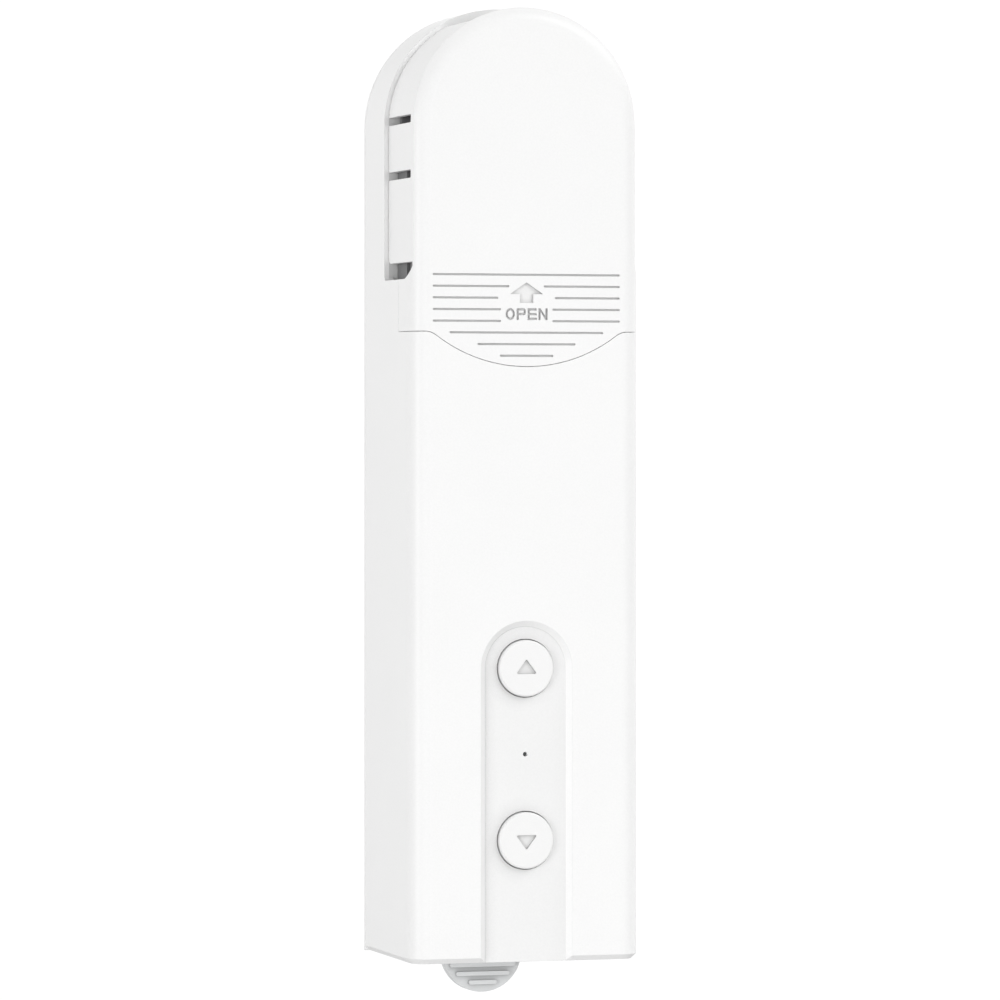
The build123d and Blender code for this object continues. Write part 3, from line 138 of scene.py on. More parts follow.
def clouds(tree, place, scale, detail=3.0, roughness=0.5):
    """Soft random clouds, which get finer as the scale grows."""
    return place_node(
        tree, "ShaderNodeTexNoise",
        [("Vector", place), ("Scale", scale), ("Detail", detail), ("Roughness", roughness)],
    ).outputs["Fac"]


def mixed(tree, share, first, second, way="MIX"):
    """A first colour with a share of a second one laid over it."""
    return place_node(
        tree, "ShaderNodeMix", [("Factor", share), ("A", first), ("B", second)],
        data_type="RGBA", blend_type=way,
    ).outputs["Result"]


def ramp(tree, value, start, end, low=0.0, high=1.0, **options):
    """Turns a value between start and end into one between low and high."""
    return place_node(
        tree, "ShaderNodeMapRange",
        [("Value", value), ("From Min", start), ("From Max", end),
         ("To Min", low), ("To Max", high)],
        **options,
    ).outputs["Result"]


def coat_over(finish, **layers):
    """Feeds the coat of a finish: its tint, dullness, normal and share of bare metal."""
    sockets = {
        "tint": "Base Color", "dullness": "Roughness", "normal": "Normal", "metal": "Metallic",
    }
    tree = finish.node_tree
    for layer, source in layers.items():
        tree.links.new(source, tree.nodes["Principled BSDF"].inputs[sockets[layer]])
    return finish


fibre_fineness = 900.0
paper, paper_tree, paper_place = new_finish(
    "pale_paper", [("Roughness", 0.95), ("Specular IOR Level", 0.1)]
)
paper_fibres = clouds(paper_tree, paper_place, fibre_fineness, 2.0)
paper_tint = mixed(paper_tree, paper_fibres, (0.58, 0.58, 0.58, 1), (0.6, 0.6, 0.6, 1))
floor_mesh.materials.append(coat_over(paper, tint=paper_tint))

wall_light = 1.05
room_light = 0.295
room_fade = (-0.35, 0.15)
studio = bpy.data.worlds.new("white_studio")
bpy.context.scene.world = studio
studio.use_nodes = True
room = studio.node_tree
room_way = place_node(room, "ShaderNodeTexCoord").outputs["Generated"]
room_depth = place_node(room, "ShaderNodeSeparateXYZ", [("Vector", room_way)]).outputs["Y"]
room_level = ramp(
    room, room_depth, *room_fade, room_light, wall_light, interpolation_type="SMOOTHSTEP"
)
seen_directly = place_node(room, "ShaderNodeLightPath").outputs["Is Camera Ray"]
backdrop = place_node(
    room, "ShaderNodeMix", [("Factor", seen_directly), ("A", room_level), ("B", wall_light)]
).outputs["Result"]
sky = room.nodes["Background"]
sky.inputs["Color"].default_value = (1, 1, 1, 1)
room.links.new(backdrop, sky.inputs["Strength"])

lamp_distance = 1400 * MM
lamp_size = 450 * MM
for name, turn, rise, power in (
    ("softbox_left", -55, 0, 5.74),
    ("softbox_left_front", -15, 0, 3.75),
    ("softbox_front", 20, 0, 2.72),
    ("softbox_right_front", 35, 35, 5.18),
    ("softbox_right", 70, 35, 3.25),
    ("softbox_back", 155, 30, 3.0),
):
    light = bpy.data.lights.new(name, "AREA")
    light.size = lamp_size
    light.energy = power
    lamp = put_in_scene(name, light)
    turned, raised = radians(turn), radians(rise)
    way = Vector((sin(turned) * cos(raised), -cos(turned) * cos(raised), sin(raised)))
    lamp.location = way * lamp_distance
    lamp.rotation_mode = "QUATERNION"
    lamp.rotation_quaternion = way.to_track_quat("Z", "Y")


# Wall bracket: the flat T-section plate that is screwed to the wall, and that the whole case
# slides on. It is moulded in light grey ABS with a fine spark-eroded grain, and the case's tray
# rubs fine upright scuffs into its rails.
def dress(finish, *names):
    """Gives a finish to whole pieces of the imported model."""
    for name in names:
        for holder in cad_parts[name].material_slots:
            holder.material = finish


def reckon(tree, way, *values, clamp=False):
    """One step of arithmetic on values and sockets."""
    return place_node(
        tree, "ShaderNodeMath", enumerate(values), operation=way, use_clamp=clamp
    ).outputs[0]


def stretch(tree, place, scales):
    """The place, stretched so that what is drawn on it becomes long fine lines."""
    return place_node(
        tree, "ShaderNodeMapping", [("Vector", place), ("Scale", scales)]
    ).outputs["Vector"]


def relief(tree, height, depth, strength, *normal):
    """Fine ups and downs of a surface, on top of a normal where one is given."""
    sockets = [("Height", height), ("Distance", depth), ("Strength", strength)]
    sockets += [("Normal", below) for below in normal]
    return place_node(tree, "ShaderNodeBump", sockets).outputs["Normal"]


def open_share(tree, reach, samples=12):
    """How far a place lies open: one on an open face, and less in corners."""
    return place_node(
        tree, "ShaderNodeAmbientOcclusion", [("Distance", reach)], samples=samples
    ).outputs["AO"]


def worn_edge(tree, edge_round):
    """Where a surface is a rubbed edge, and normals that round its edges off."""
    rub_start, rub_full = 0.995, 0.85
    softened = place_node(tree, "ShaderNodeBevel", [("Radius", edge_round)], samples=4)
    flat = place_node(tree, "ShaderNodeNewGeometry")
    lean = place_node(
        tree, "ShaderNodeVectorMath",
        [(0, softened.outputs["Normal"]), (1, flat.outputs["Normal"])],
        operation="DOT_PRODUCT",
    ).outputs["Value"]
    return ramp(tree, lean, rub_start, rub_full), softened.outputs["Normal"]


def shade(colour, level):
    """A colour made lighter or darker by a level, with its alpha."""
    return (*[min(part * level, 1) for part in colour], 1)


def moulded_plastic(name, colour, roughness, grain, depth, scuffs=None):
    """Moulded plastic: spark-eroded grain, faint flow clouds, polished edges and fine scuffs."""
    darkest, palest, scuff_pale = 0.985, 1.012, 1.12
    flow_scale, edge_round, gloss_spread = 45.0, 0.12 * MM, 0.07
    edge_polish, scuff_polish, scuff_share = -0.15, -0.35, 0.35
    finish, tree, place = new_finish(name)
    sparks = clouds(tree, place, 1 / grain, 2.0, 0.6)
    flow = clouds(tree, place, flow_scale)
    base = mixed(tree, flow, shade(colour, darkest), shade(colour, palest))
    speckle = ramp(tree, sparks, 0.3, 0.7, darkest, palest)
    tone = mixed(tree, 1.0, base, speckle, "MULTIPLY")
    edge, soft_normal = worn_edge(tree, edge_round)
    gloss = ramp(tree, sparks, 0.0, 1.0, roughness - gloss_spread, roughness + gloss_spread)
    polish = reckon(tree, "MULTIPLY_ADD", edge, edge_polish, gloss)
    if scuffs:
        lines = clouds(tree, stretch(tree, place, scuffs), 1.0)
        rub = ramp(tree, lines, 0.6, 0.72, 0.0, scuff_share)
        tone = mixed(tree, rub, tone, shade(colour, scuff_pale))
        polish = reckon(tree, "MULTIPLY_ADD", rub, scuff_polish, polish)
    bumps = relief(tree, sparks, depth, 0.5, soft_normal)
    return coat_over(finish, tint=tone, dullness=polish, normal=bumps)


bracket_plastic = moulded_plastic(
    "bracket_plastic", (0.64, 0.65, 0.655), roughness=0.5, grain=0.35 * MM, depth=0.02 * MM,
    scuffs=(2600, 2600, 55),
)
dress(bracket_plastic, "wall_bracket")


# Hinge pin and leaf spring of the release tongue: a straight length of drawn steel wire pressed
# into the bracket, and a strip of blued spring steel that pushes the tongue's teeth home. The
# strip is built of short lengths.
def worked_metal(name, colour, tarnish, roughness, way, depth, edge_round=0.06):
    """Bare metal: tool or rolling lines that vary fastest along the larger numbers of way."""
    stain_scale, stain_share, stain_dull = 420.0, 0.4, 0.18
    corner_reach = 0.8 * MM
    finish, tree, place = new_finish(name, [("Metallic", 1.0)])
    lines = clouds(tree, stretch(tree, place, way), 1.0, 4.0)
    stains = ramp(tree, clouds(tree, place, stain_scale, 6.0), 0.45, 0.75, 0.0, stain_share)
    edge, soft_normal = worn_edge(tree, edge_round * MM)
    grime = ramp(tree, open_share(tree, corner_reach, 6), 0.2, 0.9, 1.0, 0.0)
    dull = reckon(tree, "MAXIMUM", stains, grime)
    kept = reckon(tree, "SUBTRACT", dull, edge, clamp=True)
    tone = mixed(tree, kept, (*colour, 1), (*tarnish, 1))
    smooth = ramp(tree, lines, 0.3, 0.7, roughness - 0.08, roughness + 0.1)
    worn = reckon(tree, "MULTIPLY_ADD", kept, stain_dull, smooth)
    bumps = relief(tree, lines, depth, 0.6, soft_normal)
    return coat_over(finish, tint=tone, dullness=worn, normal=bumps)


drawn_wire = worked_metal(
    "drawn_wire", (0.62, 0.62, 0.63), (0.36, 0.35, 0.34), roughness=0.28, way=(60, 5200, 5200),
    depth=0.004 * MM,
)
blued_strip = worked_metal(
    "blued_strip", (0.5, 0.5, 0.52), (0.2, 0.22, 0.3), roughness=0.3, way=(4800, 4800, 70),
    depth=0.004 * MM,
)
dress(drawn_wire, "latch_pin")
dress(blued_strip, "latch_spring")


def make_piece(name, shape, finish, smooth=False):
    """Turns a shape into a piece with a finish."""
    bmesh.ops.recalc_face_normals(shape, faces=shape.faces)
    mesh = bpy.data.meshes.new(name)
    shape.to_mesh(mesh)
    shape.free()
    mesh.materials.append(finish)
    for face in mesh.polygons:
        face.use_smooth = smooth
    return put_in_scene(name, mesh)


leaf_low, leaf_high = (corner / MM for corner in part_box("latch_spring"))
leaf_half = 0.15
leaf_edge = 0.05
leaf_upright = 7.1
knee_depth = 0.02
knee_height = 0.56
upright_lengths = 4
free_lengths = 12
leaf_y = leaf_high.y - leaf_half
leaf_end = leaf_low.z + 0.01
leaf_top = Vector((leaf_y, leaf_high.z))
leaf_knee = Vector((leaf_y, leaf_high.z - leaf_upright))
leaf_start = leaf_knee - Vector((knee_depth, knee_height))
leaf_foot = Vector((leaf_low.y + leaf_half, leaf_end))
leaf_line = [leaf_top.lerp(leaf_knee, step / upright_lengths) for step in range(upright_lengths)]
leaf_line += [leaf_knee, leaf_knee - Vector((knee_depth / 4, knee_height / 2))]
leaf_line += [leaf_start.lerp(leaf_foot, step / free_lengths) for step in range(free_lengths)]
leaf_line.append(leaf_foot)
leaf_outline = (
    (leaf_low.x + leaf_edge, -leaf_half), (leaf_high.x - leaf_edge, -leaf_half),
    (leaf_high.x, leaf_edge - leaf_half), (leaf_high.x, leaf_half - leaf_edge),
    (leaf_high.x - leaf_edge, leaf_half), (leaf_low.x + leaf_edge, leaf_half),
    (leaf_low.x, leaf_half - leaf_edge), (leaf_low.x, leaf_edge - leaf_half),
)
leaf = bmesh.new()
leaf_rings = []
leaf_ahead = leaf_line[1:] + leaf_line[-1:]
for before, spot, after in zip(leaf_line[:1] + leaf_line, leaf_line, leaf_ahead):
    run = (after - before).normalized()
    ring = []
    for x, rise in leaf_outline:
        y, z = spot + Vector((run.y, -run.x)) * rise
        ring.append(leaf.verts.new((x * MM, y * MM, z * MM)))
    leaf_rings.append(ring)
for upper, lower in zip(leaf_rings, leaf_rings[1:]):
    for corner in range(len(leaf_outline)):
        following = (corner + 1) % len(leaf_outline)
        leaf.faces.new((upper[corner], upper[following], lower[following], lower[corner]))
leaf.faces.new(leaf_rings[0])
leaf.faces.new(leaf_rings[-1][::-1])
leaf_spring = make_piece("leaf_spring", leaf, blued_strip)
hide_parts("latch_spring")
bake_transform(leaf_spring)


# Release tongue: the grey tab below the case, a toothed lever in the same ABS as the bracket,
# painted a little paler to offset the case's shadow. Thumbs polish the crests of its three grip
# ribs, and painted shade darkens the corners between them.
def painted_corner_shade(tree, reach, darkest, lightest):
    """Painted shade: a grey that is darkest in corners and lightest in the open."""
    return ramp(tree, open_share(tree, reach), 0.4, 1.0, darkest, lightest)


def tint_over(finish, where, tone, way="MIX"):
    """Lays a tone over a finish's own colour wherever the mask is one."""
    tree = finish.node_tree
    colour = tree.nodes["Principled BSDF"].inputs["Base Color"]
    tree.links.new(mixed(tree, where, colour.links[0].from_socket, tone, way), colour)


# Painted light: the tongue's grey is a little paler than the bracket's, to offset the case's
# shadow.
tongue_plastic = moulded_plastic(
    "tongue_plastic", (0.68, 0.69, 0.695), roughness=0.46, grain=0.3 * MM, depth=0.018 * MM,
    scuffs=(90, 2400, 2400),
)
# Painted shade: the tab is darkened in the corners round its ribs.
rib_painted_shade = painted_corner_shade(tongue_plastic.node_tree, 1.2 * MM, 0.6, 1.0)
tint_over(tongue_plastic, 1.0, rib_painted_shade, "MULTIPLY")
dress(tongue_plastic, "release_latch")


# Back cover and its screws: the plate that closes the case, moulded in matt white ABS, with five
# zinc-plated pan-head screws driven into the housing's bosses.
def white_moulding(name):
    """The matt white ABS that the whole case is moulded in."""
    return moulded_plastic(
        name, (0.84, 0.84, 0.838), roughness=0.42, grain=0.38 * MM, depth=0.02 * MM
    )


zinc_plate = worked_metal(
    "zinc_plate", (0.66, 0.67, 0.69), (0.46, 0.45, 0.38), roughness=0.3, way=(900, 900, 900),
    depth=0.006 * MM,
)
dress(white_moulding("case_plastic"), "back_cover")
dress(zinc_plate, "back_cover_screws")


# Main housing: front, sides and floor of the case in one white moulding. The front carries the
# arched recess for the buttons. Painted shade greys the recess floor, with painted shadow in its
# corners that fades out from left to right; its left slope is painted darker and its right slope
# painted lighter. Painted shade greys the ledges behind the cover's slots.
def place_axes(tree):
    """The place on the object, split into its x, y and z."""
    place = place_node(tree, "ShaderNodeTexCoord").outputs["Object"]
    return place_node(tree, "ShaderNodeSeparateXYZ", [("Vector", place)]).outputs


def inside_box(tree, low, high):
    """One inside a box between two corners, and nought outside it."""
    across, deep, along = (
        reckon(tree, "COMPARE", axis, (near + far) / 2, (far - near) / 2)
        for axis, near, far in zip(place_axes(tree), low, high)
    )
    return reckon(tree, "MULTIPLY", reckon(tree, "MULTIPLY", across, deep), along)


housing_plastic = white_moulding("housing_plastic")
housing_tree = housing_plastic.node_tree
housing_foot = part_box("main_housing")[0].z
recess_half = 8.8 * MM
recess_top = -20 * MM
slope_near = front_y + 0.05 * MM
floor_near = front_y + 0.85 * MM
floor_far = front_y + 1.2 * MM
shade_reach = 3.0 * MM
# Painted shadow on the recess floor: darkest in its left corners, fading to an even painted grey
# at its right.
recess_left_to_right = ramp(housing_tree, place_axes(housing_tree)["X"], -recess_half, recess_half)
floor_painted_shade = ramp(
    housing_tree, open_share(housing_tree, shade_reach), 0.86, 0.99, 0.74, 0.955
)
floor_tone = place_node(
    housing_tree, "ShaderNodeMix", [("Factor", recess_left_to_right), ("A", floor_painted_shade), ("B", 0.945)]
).outputs["Result"]
# Painted shade and highlight on the slopes: the left one darker, the right one lighter.
slope_shade_and_highlight = ramp(housing_tree, recess_left_to_right, 0.0, 1.0, 0.965, 1.06)
for tone, near, far in (
    (floor_tone, floor_near, floor_far),
    (slope_shade_and_highlight, slope_near, floor_near),
):
    recess = inside_box(
        housing_tree, (-recess_half, near, housing_foot), (recess_half, far, recess_top)
    )
    tint_over(housing_plastic, recess, tone, "MULTIPLY")
# Painted shade on the ledges behind the cover's slots.
ledge_half, ledge_foot, ledge_top = 21.1 * MM, 36 * MM, 68 * MM
ledge_near = front_y + 18.0 * MM
ledge_far = front_y + 18.5 * MM
slot_ledge = inside_box(
    housing_tree, (-ledge_half, ledge_near, ledge_foot), (ledge_half, ledge_far, ledge_top)
)
tint_over(housing_plastic, slot_ledge, (0.72, 0.72, 0.72, 1), "MULTIPLY")
dress(housing_plastic, "main_housing")


# Two buttons and the light pipe between them: the buttons are moulded like the case but in a
# finer, slightly glossier grain, with painted shade in their sunk triangles. The pipe is clear
# acrylic.
button_plastic = moulded_plastic(
    "button_plastic", (0.815, 0.815, 0.813), roughness=0.4, grain=0.22 * MM, depth=0.01 * MM
)
# Painted shade: the sunk triangles are greyed most in their corners.
triangle_painted_shade = painted_corner_shade(button_plastic.node_tree, 0.8 * MM, 0.7, 0.91)
triangle_half = 2.3 * MM
triangle_near = 0.08 * MM
triangle_far = 0.8 * MM
for name in ("up_button", "down_button"):
    low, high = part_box(name)
    middle = (low.z + high.z) / 2
    triangle = inside_box(
        button_plastic.node_tree,
        (-triangle_half, low.y + triangle_near, middle - triangle_half),
        (triangle_half, low.y + triangle_far, middle + triangle_half),
    )
    tint_over(button_plastic, triangle, triangle_painted_shade, "MULTIPLY")
dress(button_plastic, "up_button", "down_button")


def clear_moulding(name, colour, roughness, clearness):
    """See-through moulded plastic with fine flow lines and a slight haze."""
    finish, tree, place = new_finish(name, [("Transmission Weight", clearness), ("IOR", 1.49)])
    flow = clouds(tree, place, 1400.0)
    tone = mixed(tree, flow, shade(colour, 0.94), (*colour, 1))
    haze = ramp(tree, flow, 0.0, 1.0, roughness * 0.6, roughness * 1.5)
    bumps = relief(tree, flow, 0.01 * MM, 0.4)
    return coat_over(finish, tint=tone, dullness=haze, normal=bumps)


dress(clear_moulding("pipe_acrylic", (0.35, 0.37, 0.38), 0.12, 0.85), "light_pipe")


# Control board: a green glass-fibre board with its screws, chips, radio module and small parts.
# Tracks show through the solder mask, and every part sits in bright fillets of solder.
def solder_mask(name, deep, bright):
    """Green mask over woven glass on the faces, and the bare buff laminate on the edges."""
    weave_scale, pool_scale = 620.0, 130.0
    finish, tree, place = new_finish(name, [("Specular IOR Level", 0.6)])
    weaves = [
        place_node(
            tree, "ShaderNodeTexWave",
            [("Vector", place), ("Scale", weave_scale), ("Distortion", 0.6), ("Detail", 1.0)],
            bands_direction=way,
        ).outputs["Fac"]
        for way in ("X", "Z")
    ]
    cloth = reckon(tree, "MULTIPLY", *weaves)
    pools = clouds(tree, place, pool_scale)
    mask = mixed(tree, cloth, (*deep, 1), (*bright, 1))
    pooled = mixed(tree, pools, mask, (*deep, 1))
    normal = place_node(tree, "ShaderNodeTexCoord").outputs["Normal"]
    facing = place_node(tree, "ShaderNodeSeparateXYZ", [("Vector", normal)]).outputs["Y"]
    on_edge = ramp(tree, reckon(tree, "ABSOLUTE", facing), 0.6, 0.3)
    tone = mixed(tree, on_edge, pooled, (0.45, 0.4, 0.22, 1))
    gloss = ramp(tree, pools, 0.0, 1.0, 0.22, 0.38)
    bumps = relief(tree, cloth, 0.01 * MM, 0.5)
    return coat_over(finish, tint=tone, dullness=gloss, normal=bumps)


laminate = solder_mask("board_laminate", (0.022, 0.17, 0.085), (0.035, 0.235, 0.125))
covered_copper = solder_mask("covered_copper", (0.06, 0.32, 0.13), (0.08, 0.38, 0.17))
chip_epoxy = moulded_plastic(
    "chip_epoxy", (0.035, 0.035, 0.038), roughness=0.55, grain=0.12 * MM, depth=0.006 * MM
)
solder = worked_metal(
    "solder", (0.8, 0.8, 0.79), (0.56, 0.56, 0.55), roughness=0.24, way=(700, 700, 700),
    depth=0.01 * MM,
)
tin_sheet = worked_metal(
    "tin_sheet", (0.74, 0.75, 0.76), (0.55, 0.55, 0.54), roughness=0.3, way=(300, 4200, 300),
    depth=0.004 * MM, edge_round=0.15,
)
dress(laminate, "control_board")
dress(chip_epoxy, "board_chips")
dress(zinc_plate, "board_screws")
dress(tin_sheet, "radio_module")
dress(clear_moulding("light_resin", (0.9, 0.87, 0.6), 0.15, 0.6), "indicator_led")


def add_block(shape, low, high):
    """Adds a square-edged block between two corners, in millimetres."""
    corners = [
        shape.verts.new((x * MM, y * MM, z * MM))
        for z in (low[2], high[2]) for y in (low[1], high[1]) for x in (low[0], high[0])
    ]
    for face in (
        (0, 2, 3, 1), (4, 5, 7, 6), (0, 1, 5, 4), (2, 6, 7, 3), (0, 4, 6, 2), (1, 3, 7, 5)
    ):
        shape.faces.new([corners[corner] for corner in face])


def add_turned(shape, centre, axis, outline, steps=20):
    """Adds a form turned round an axis from (radius, height) points, closed at both ends."""
    way = Vector(axis).normalized()
    across = way.orthogonal().normalized()
    along = way.cross(across)
    rings = []
    for radius, height in outline:
        ring = []
        for step in range(steps):
            turn = 2 * pi * step / steps
            out = (across * cos(turn) + along * sin(turn)) * radius
            ring.append(shape.verts.new((Vector(centre) + way * height + out) * MM))
        rings.append(ring)
    for lower, upper in zip(rings, rings[1:]):
        for step in range(steps):
            following = (step + 1) % steps
            shape.faces.new((lower[step], lower[following], upper[following], upper[step]))
    shape.faces.new(rings[0][::-1])
    shape.faces.new(rings[-1])


def add_track(shape, path, width, near, far):
    """Adds one flat copper track along a path of (x, z) points, with mitred bends."""
    spots = [Vector(spot) for spot in path]
    ways = [(after - before).normalized() for before, after in zip(spots, spots[1:])]
    left, right = [], []
    for spot, before, after in zip(spots, ways[:1] + ways, ways + ways[-1:]):
        middle = (before + after).normalized()
        out = Vector((-middle.y, middle.x)) * width / 2 / middle.dot(after)
        left.append(spot + out)
        right.append(spot - out)
    outline = left + right[::-1]
    front, back = (
        [shape.verts.new((x * MM, depth * MM, z * MM)) for x, z in outline]
        for depth in (near, far)
    )
    count = len(outline)
    for step in range(len(path) - 1):
        mate = count - 1 - step
        shape.faces.new((front[step], front[step + 1], front[mate - 1], front[mate]))
        shape.faces.new((back[step + 1], back[step], back[mate], back[mate - 1]))
    for step in range(count):
        following = (step + 1) % count
        shape.faces.new((front[following], front[step], back[step], back[following]))


def finish_piece(name, shape, body, finish, edge=0.0, smooth=False):
    """Makes a piece that rides on a body, with its edges broken where asked."""
    piece = make_piece(name, shape, finish, smooth)
    if edge:
        broken = piece.modifiers.new("broken_edges", "BEVEL")
        broken.width = edge * MM
        broken.segments = 2
        broken.limit_method = "ANGLE"
    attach(piece, body)


# Copper tracks side by side in four runs, each ending in a round pad
board_front, board_back = (corner.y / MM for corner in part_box("control_board"))
track_pitch = 0.7
track_width = 0.3
track_proud = 0.03
track_sunk = 0.02
pad_outline = [(0.29, 0), (0.29, 0.04), (0.25, 0.06)]
track_runs = (
    (6, [(-11.2, -77.0), (-11.2, -66.5), (-14.0, -63.7), (-14.0, -60.2)]),
    (7, [(10.3, -48.0), (10.3, -42.5), (5.3, -37.5), (5.3, -27.2)]),
    (5, [(-13.8, -40.0), (-13.8, -36.0), (-8.6, -30.8), (-8.6, -27.2)]),
    (4, [(11.3, -66.6), (11.3, -70.0), (7.3, -74.0), (7.3, -78.5)]),
)
tracks = bmesh.new()
for count, path in track_runs:
    for lane in range(count):
        lane_path = [(x + lane * track_pitch, z) for x, z in path]
        near, far = board_front - track_proud, board_front + track_sunk
        add_track(tracks, lane_path, track_width, near, far)
        for x, z in (lane_path[0], lane_path[-1]):
            add_turned(tracks, (x, far, z), (0, -1, 0), pad_outline, 12)
finish_piece("board_tracks", tracks, "housing", covered_copper)

# Gull-wing legs down both sides of each chip, each bent out, down and out again to its pad
chip_places = ((-12.4, -56.8, 5.0), (12.4, -51.8, 6.0), (12.4, -63.8, 4.0), (-12.4, -42.8, 4.0))
leg_pitch = 0.8
leg_half = 0.16
leg_bends = ((0, 0.3, 0.6, 0.48), (0.2, 0.32, 0.6, 0.04), (0.2, 0.75, 0.14, 0.02))
legs = bmesh.new()
for x, z, size in chip_places:
    leg_count = int(size / leg_pitch)
    for side in (-1, 1):
        root = x + side * size / 2
        for leg in range(leg_count):
            middle = z + (leg - (leg_count - 1) / 2) * leg_pitch
            for near, far, top, foot in leg_bends:
                left, right = sorted((root + side * near, root + side * far))
                low = (left, board_front - top, middle - leg_half)
                high = (right, board_front - foot, middle + leg_half)
                add_block(legs, low, high)
finish_piece("chip_legs", legs, "housing", tin_sheet)

# Resistors and capacitors: small ceramic bricks between two tinned end caps
brick_places = (
    (-3.2, -73.0), (-3.2, -71.2), (-5.8, -73.0), (-5.8, -71.2), (-7.6, -53.4), (-7.6, -51.6),
    (-5.6, -57.6), (-5.6, -55.8), (7.0, -56.2), (7.0, -54.4), (7.0, -64.0), (7.0, -62.2),
    (-4.6, -46.2), (-4.6, -44.4), (-7.6, -44.4), (4.8, -46.2), (4.8, -44.4), (14.6, -36.0),
    (14.6, -34.2), (14.6, -32.4), (-14.6, -33.0), (-14.6, -31.2), (1.2, -58.2), (-1.8, -58.2),
)
brick_half, brick_rise, brick_height = 0.5, 0.38, 0.42
cap_near, cap_far, cap_rise, cap_height = 0.45, 0.82, 0.4, 0.45
bricks = bmesh.new()
caps = bmesh.new()
for x, z in brick_places:
    add_block(
        bricks,
        (x - brick_half, board_front - brick_height, z - brick_rise),
        (x + brick_half, board_front - 0.02, z + brick_rise),
    )
    for side in (-1, 1):
        left, right = sorted((x + side * cap_near, x + side * cap_far))
        add_block(
            caps,
            (left, board_front - cap_height, z - cap_rise),
            (right, board_front + 0.01, z + cap_rise),
        )
brick_ceramic = moulded_plastic(
    "brick_ceramic", (0.3, 0.2, 0.13), roughness=0.45, grain=0.1 * MM, depth=0.005 * MM
)
finish_piece("board_bricks", bricks, "housing", brick_ceramic, edge=0.05)
finish_piece("board_brick_caps", caps, "housing", solder, edge=0.08)

# Solder: a small bright fillet at each foot of the switches, the radio can and the port's shell
fillet_outline = [(0.55, 0), (0.42, 0.08), (0.26, 0.22), (0.16, 0.42), (0.05, 0.5)]
joint_places = [
    (side * 3.35, middle + rise * 2.25)
    for middle in (-65.55, -34.05) for side in (-1, 1) for rise in (-1, 1)
]
joint_places += [(side * 6.95, -25.4 + 1.45 * step) for side in (-1, 1) for step in range(6)]
joint_places += [(side * 4.9, height) for side in (-1, 1) for height in (-82.6, -80.6)]
joint_places += [(side * 1.15, -49.8) for side in (-1, 1)]
joints = bmesh.new()
for x, z in joint_places:
    add_turned(joints, (x, board_front + 0.01, z), (0, -1, 0), fillet_outline, 14)
finish_piece("solder_joints", joints, "housing", solder, smooth=True)


# Switches under the buttons: black nylon bodies clamped by a thin tin frame, each with a stem
# that the button pushes.
stem_nylon = moulded_plastic(
    "stem_nylon", (0.05, 0.05, 0.055), roughness=0.35, grain=0.15 * MM, depth=0.006 * MM
)
dress(chip_epoxy, "up_switch", "down_switch")
dress(stem_nylon, "up_switch_stem", "down_switch_stem")
clamp_gap = 0.02
clamp_thickness = 0.15
clamp_margin = 1.2
hook_height = 0.8
hook_inner = 1.5
hook_near, hook_far = 0.12, 0.01
for name in ("up_switch", "down_switch"):
    low, high = (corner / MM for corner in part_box(name))
    foot, top = low.z + clamp_margin, high.z - clamp_margin
    clamp_inner = high.x + clamp_gap
    clamp_outer = clamp_inner + clamp_thickness
    clamp = bmesh.new()
    for side in (-1, 1):
        left, right = sorted((side * clamp_inner, side * clamp_outer))
        add_block(clamp, (left, low.y + 0.1, foot), (right, high.y, top))
    for height in (foot, top - hook_height):
        for side in (-1, 1):
            left, right = sorted((side * hook_inner, side * clamp_outer))
            add_block(
                clamp,
                (left, low.y - hook_near, height),
                (right, low.y - hook_far, height + hook_height),
            )
    finish_piece(name + "_clamp", clamp, "housing", tin_sheet, edge=0.03)


# Charging port: a drawn and tinned steel shell round a black tongue, open to the case's foot.
# The tongue has a row of twelve gold-plated contacts on each face, the supply ones longer.
gold_plate = worked_metal(
    "gold_plate", (0.83, 0.62, 0.27), (0.6, 0.42, 0.18), roughness=0.24, way=(900, 900, 4200),
    depth=0.002 * MM,
)
dress(tin_sheet, "usb_socket_shell")
dress(stem_nylon, "usb_socket_tongue")
port_low, port_high = (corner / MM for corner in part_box("usb_socket_shell"))
port_middle = (port_low.y + port_high.y) / 2
tongue_half = 0.35
contact_count = 12
contact_pitch = 0.5
contact_half = 0.13
contact_foot = -85.95
supply_contacts = (0, 4, 7, 11)
contacts = bmesh.new()
for side in (-1, 1):
    skin = port_middle + side * tongue_half
    near, far = sorted((skin - side * 0.02, skin + side * 0.03))
    for contact in range(contact_count):
        x = (contact - (contact_count - 1) / 2) * contact_pitch
        top = contact_foot + (3.6 if contact in supply_contacts else 3.2)
        add_block(contacts, (x - contact_half, near, contact_foot), (x + contact_half, far, top))
finish_piece("port_contacts", contacts, "housing", gold_plate, edge=0.015)


# Battery: one lithium cell in a blue shrink sleeve, with a paper ring round its upper pole, nickel
# tabs spot-welded to its ends and soldered to the board, and a foam pad between the two.
cell_low, cell_high = (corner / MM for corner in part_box("battery_cell"))
cell_y = (cell_low.y + cell_high.y) / 2


